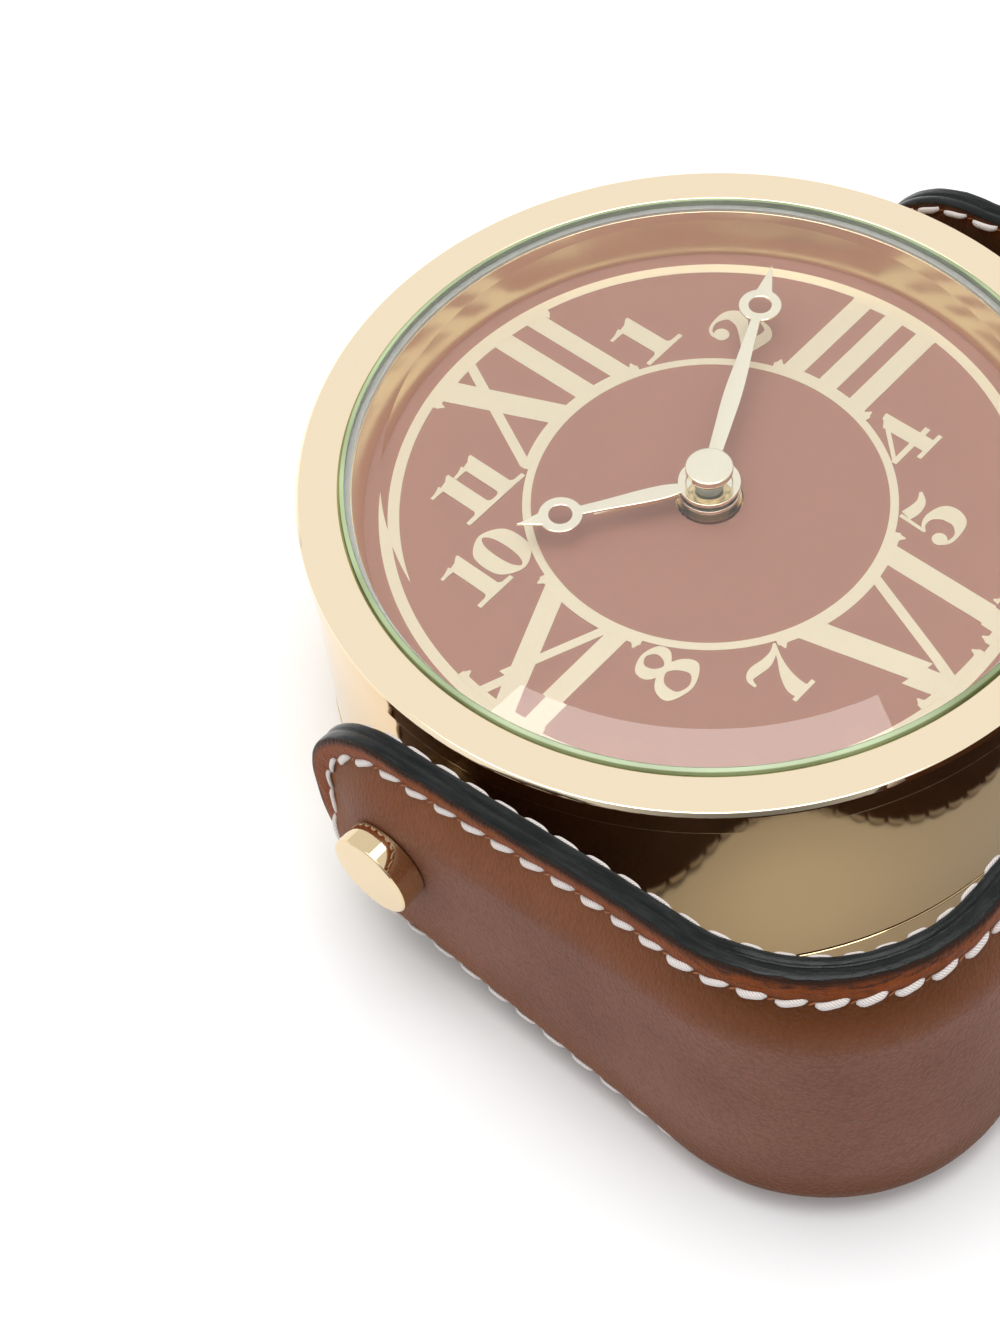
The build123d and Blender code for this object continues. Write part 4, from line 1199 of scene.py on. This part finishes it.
def edge_strip():
    """Black paint over both leathers' cut edges, thick and rounded, with a faint line between them."""
    count = len(LOOP)
    points = []
    flat = []
    along = loop_length(0)[:-1]
    for inset, level in PAINT:
        lip = 0.09 if level > 1.1 else 0.05 if level < -0.8 else 0.0
        for i in range(count):
            seed = Vector((along[i] * 0.22, level * 1.5, 9.0))
            worn = bend_weight(LOOP[i][0])
            rough = (0.05 + 0.05 * worn) * noise.noise(seed) + (0.03 + 0.07 * worn) * noise.noise(seed * 4.0)
            wander = lip * (1 + worn) * noise.noise(Vector((along[i] * 0.6, 4.0 if level > 0 else 7.0, 0)))
            s, z = LOOP[i] + INWARD[i] * (inset + rough * 0.5)
            points.append(on_band(s, z, level + lean(s, z) + wander + rough * 0.2))
            flat.append((along[i], level))
    faces = []
    rows = len(PAINT)
    for row in range(rows):
        for i in range(count):
            j = (i + 1) % count
            below = (row + 1) % rows
            faces.append([row * count + j, row * count + i, below * count + i, below * count + j])
    obj = add_piece("edge_paint", points, faces, EDGE, "stirrup")
    set_uv(obj, "unrolled", flat)


def stitch_place(side, distance, inset):
    """Point on the unrolled band at a distance along one face's stitch line and an inset."""
    length = STITCH_LENGTH[side]
    distance %= length[-1]
    i = int(np.searchsorted(length, distance, "right")) - 1
    j = (i + 1) % len(LOOP)
    t = (distance - length[i]) / (length[i + 1] - length[i])
    normal = INWARD[i] * (1 - t) + INWARD[j] * t
    normal /= np.linalg.norm(normal)
    return LOOP[i] * (1 - t) + LOOP[j] * t + normal * inset


def above_stitch_line(side, distance, inset, lift):
    """Placed point near the stitch line, lifted off the leather's face."""
    s, z = stitch_place(side, distance, inset)
    higher = LOWER_STITCH_RISE * ease(-z, 0.0, 8.0) * (1 - bend_weight(s)) if side > 0 else 0.0
    s, z = stitch_place(side, distance, inset + higher)
    ground = surface(side, s, z, STITCH_IN[side] + higher, STITCH_LEVEL[side] + 0.14 * min(1.0, higher))
    slope = 0.22 * (inset - STITCH_IN[side]) if side > 0 else 0.0
    return on_band(s, z, ground + slope + side * lift)


def stitches(name, side):
    """A row of slanted saddle stitches on one face, each a bent thread that dives at both ends.

    Returns the place and slant of the slit after each stitch."""
    sections, sides = 11, 8
    proud = 0.04 if side > 0 else 0.16
    points, faces, uv = [], [], []
    slits = []
    pitch = STITCH_LENGTH[side][-1] / STITCH_COUNT
    for number in range(STITCH_COUNT):
        centre = (number + 0.5) * pitch + random.uniform(-0.08, 0.08)
        length = STITCH_LONG + random.uniform(-0.16, 0.14)
        slant = STITCH_SLANT + random.uniform(-0.06, 0.06)
        fat = 1 + random.uniform(-0.10, 0.08)
        shift = random.uniform(-0.05, 0.05)
        start = len(points)
        for section in range(sections):
            t = -1 + 2 * section / (sections - 1)
            bow = proud + 0.26 * (1 - t ** 4) - 0.14
            width = 0.37 * fat * (1 - 0.45 * t ** 4)
            thick = 0.23 * fat * (1 - 0.30 * t ** 4)
            inset = STITCH_IN[side] + shift - side * slant * t - 0.05 * math.sin(3 * t)
            for turn in range(sides):
                angle = 2 * math.pi * turn / sides
                across = width * math.cos(angle)
                lift = bow + thick * math.sin(angle)
                points.append(above_stitch_line(side, centre + t * length / 2, inset + across, lift))
                uv.append((t * length / 2 + number * 4.0, turn / sides * 2.1))
        for section in range(sections - 1):
            for turn in range(sides):
                after = (turn + 1) % sides
                a = start + section * sides
                faces.append([a + turn, a + after, a + sides + after, a + sides + turn])
        faces.append([start + turn for turn in range(sides)][::-1])
        faces.append([start + (sections - 1) * sides + turn for turn in range(sides)])
        slits.append((centre + length / 2 + 0.36, side * slant))
    obj = add_piece(name, points, faces, THREAD, "stirrup")
    set_uv(obj, "thread", uv)
    return slits


def awl_slits(name, slits, side):
    """Small slanted cuts between the stitches."""
    sides = 8
    points, faces = [], []
    for distance, slant in slits:
        start = len(points)
        for step in range(sides):
            angle = 2 * math.pi * step / sides
            along = 0.36 * math.cos(angle)
            across = 0.10 * math.sin(angle) - slant * along * 2.0
            points.append(above_stitch_line(side, distance + along, STITCH_IN[side] + across, 0.05))
        points.append(above_stitch_line(side, distance, STITCH_IN[side], 0.10))
        for step in range(sides):
            faces.append([start + step, start + (step + 1) % sides, start + sides])
    add_piece(name, points, faces, SLIT, "stirrup")


def stirrup_pieces():
    """Both leathers, the painted edge and the stitching on each face."""
    leather_sheet("leather_outer_skin", 1, LEATHER, "leather_outer")
    leather_sheet("leather_lining_skin", -1, LINING_LEATHER, "leather_lining")
    edge_strip()
    awl_slits("awl_slits_outer", stitches("stitches_outer", 1), 1)
    awl_slits("awl_slits_lining", stitches("stitches_lining", -1), -1)


# ---------------------------------------------------------------- pivot knobs

KNOB_R = 4.2
STEM_R = 2.0
STEM_END = 31.0


def knob_pieces():
    """Screw knobs: a thick round head with a slightly domed face, and its stem."""
    face = OUTER_X + 0.05
    end = reach("pivot_knobs")
    profile = soften([
        (0, STEM_END),
        (STEM_R, STEM_END),
        (STEM_R, face),
        (KNOB_R - 0.12, face),
        (KNOB_R, face + 0.12),
        (KNOB_R, end - 0.20, 0.05),
        (KNOB_R - 0.13, end - 0.07, 0.05),
        (0, end),
    ], 0.04, closed=False)
    points, faces = lathe(profile, closed=False, turns=96)
    mirrored = [loop[::-1] for loop in faces]
    left = np.column_stack([-points[:, 2], points[:, 1], PIVOT_Z + points[:, 0]])
    right = np.column_stack([points[:, 2], points[:, 1], PIVOT_Z + points[:, 0]])
    add_piece("knob_left", left, faces, SHADED_KNOB_GILT, "clock")
    add_piece("knob_right", right, mirrored, SHADED_KNOB_GILT, "clock", ["pivot_knobs"])


# ---------------------------------------------------------------- stage

def area_light(name, place, target, size, power):
    """A square soft light that faces a point."""
    light = bpy.data.lights.new(name, "AREA")
    light.size = size
    light.energy = power
    obj = bpy.data.objects.new(name, light)
    obj.location = place
    obj.rotation_euler = (Vector(target) - Vector(place)).to_track_quat("-Z", "Y").to_euler()
    bpy.context.scene.collection.objects.link(obj)


def surroundings():
    """White surroundings with one soft darker patch low on the near side."""
    world = bpy.data.worlds.new("surroundings")
    world.use_nodes = True
    tree = world.node_tree
    place = tree.nodes.new("ShaderNodeTexCoord").outputs["Generated"]
    facing = node(tree, "ShaderNodeVectorMath", [(place, "Vector")], operation="DOT_PRODUCT")
    facing.inputs[1].default_value = Vector((-0.67, -0.74, 0.18)).normalized()
    patch = remap(tree, facing.outputs["Value"], 0.68, 0.95, 0.92, 0.12)
    tree.links.new(patch, tree.nodes["Background"].inputs["Strength"])
    tree.nodes["Background"].inputs["Color"].default_value = (1.0, 1.0, 1.0, 1)
    return world


def studio():
    """Pale floor, white surroundings and one soft overhead light."""
    half = 3.0
    mesh = bpy.data.meshes.new("floor")
    corners = [(-half, -half, 0), (half, -half, 0), (half, half, 0), (-half, half, 0)]
    mesh.from_pydata(corners, [], [[0, 1, 2, 3]])
    mat, tree, shader = new_material("floor_white", (0.86, 0.86, 0.86), rough=0.9)
    tone = noise_node(tree, coordinates(tree, 0.01), detail=2)
    tone = mix_color(tree, tone, (0.855, 0.858, 0.860), (0.863, 0.866, 0.868))
    tree.links.new(tone, shader.inputs["Base Color"])
    mesh.materials.append(mat)
    floor = bpy.data.objects.new("floor", mesh)
    bpy.context.scene.collection.objects.link(floor)
    bpy.context.scene.world = surroundings()
    area_light("key", (-0.04, 0.03, 1.0), (0, 0, 0.02), 0.70, 6.9)
    bpy.context.scene.view_settings.view_transform = "Standard"


CAMERA_AZIMUTH = math.radians(-42.29)
CAMERA_ELEVATION = math.radians(54.29)
CAMERA_ROLL = math.radians(-7.08)
CAMERA_TARGET = (-29.108, -0.494, 30.0)
CAMERA_DISTANCE = 209.646
SENSOR_MM = 36.0
LENS_MM = 65.609595


def camera():
    """Camera from an azimuth, elevation, roll and distance about a point by the drum."""
    azimuth, elevation, roll = CAMERA_AZIMUTH, CAMERA_ELEVATION, CAMERA_ROLL
    target = Vector(to_row(CAMERA_TARGET))
    distance = CAMERA_DISTANCE * MM
    level = math.cos(elevation)
    back = Vector((math.sin(azimuth) * level, -math.cos(azimuth) * level, math.sin(elevation)))
    right = Vector((0, 0, 1)).cross(back).normalized()
    up = back.cross(right)
    side = right * math.cos(roll) + up * math.sin(roll)
    top = -right * math.sin(roll) + up * math.cos(roll)
    data = bpy.data.cameras.new("camera")
    data.sensor_fit = "VERTICAL"
    data.sensor_height = SENSOR_MM
    data.lens = LENS_MM
    data.clip_start = 0.005
    obj = bpy.data.objects.new("camera", data)
    turn = Matrix((side, top, back)).transposed()
    obj.matrix_world = Matrix.Translation(target + back * distance) @ turn.to_4x4()
    bpy.context.scene.collection.objects.link(obj)
    bpy.context.scene.camera = obj


dress_cad_nodes()
drum_pieces()
dial_pieces()
hand_pieces()
stirrup_pieces()
knob_pieces()
studio()
camera()
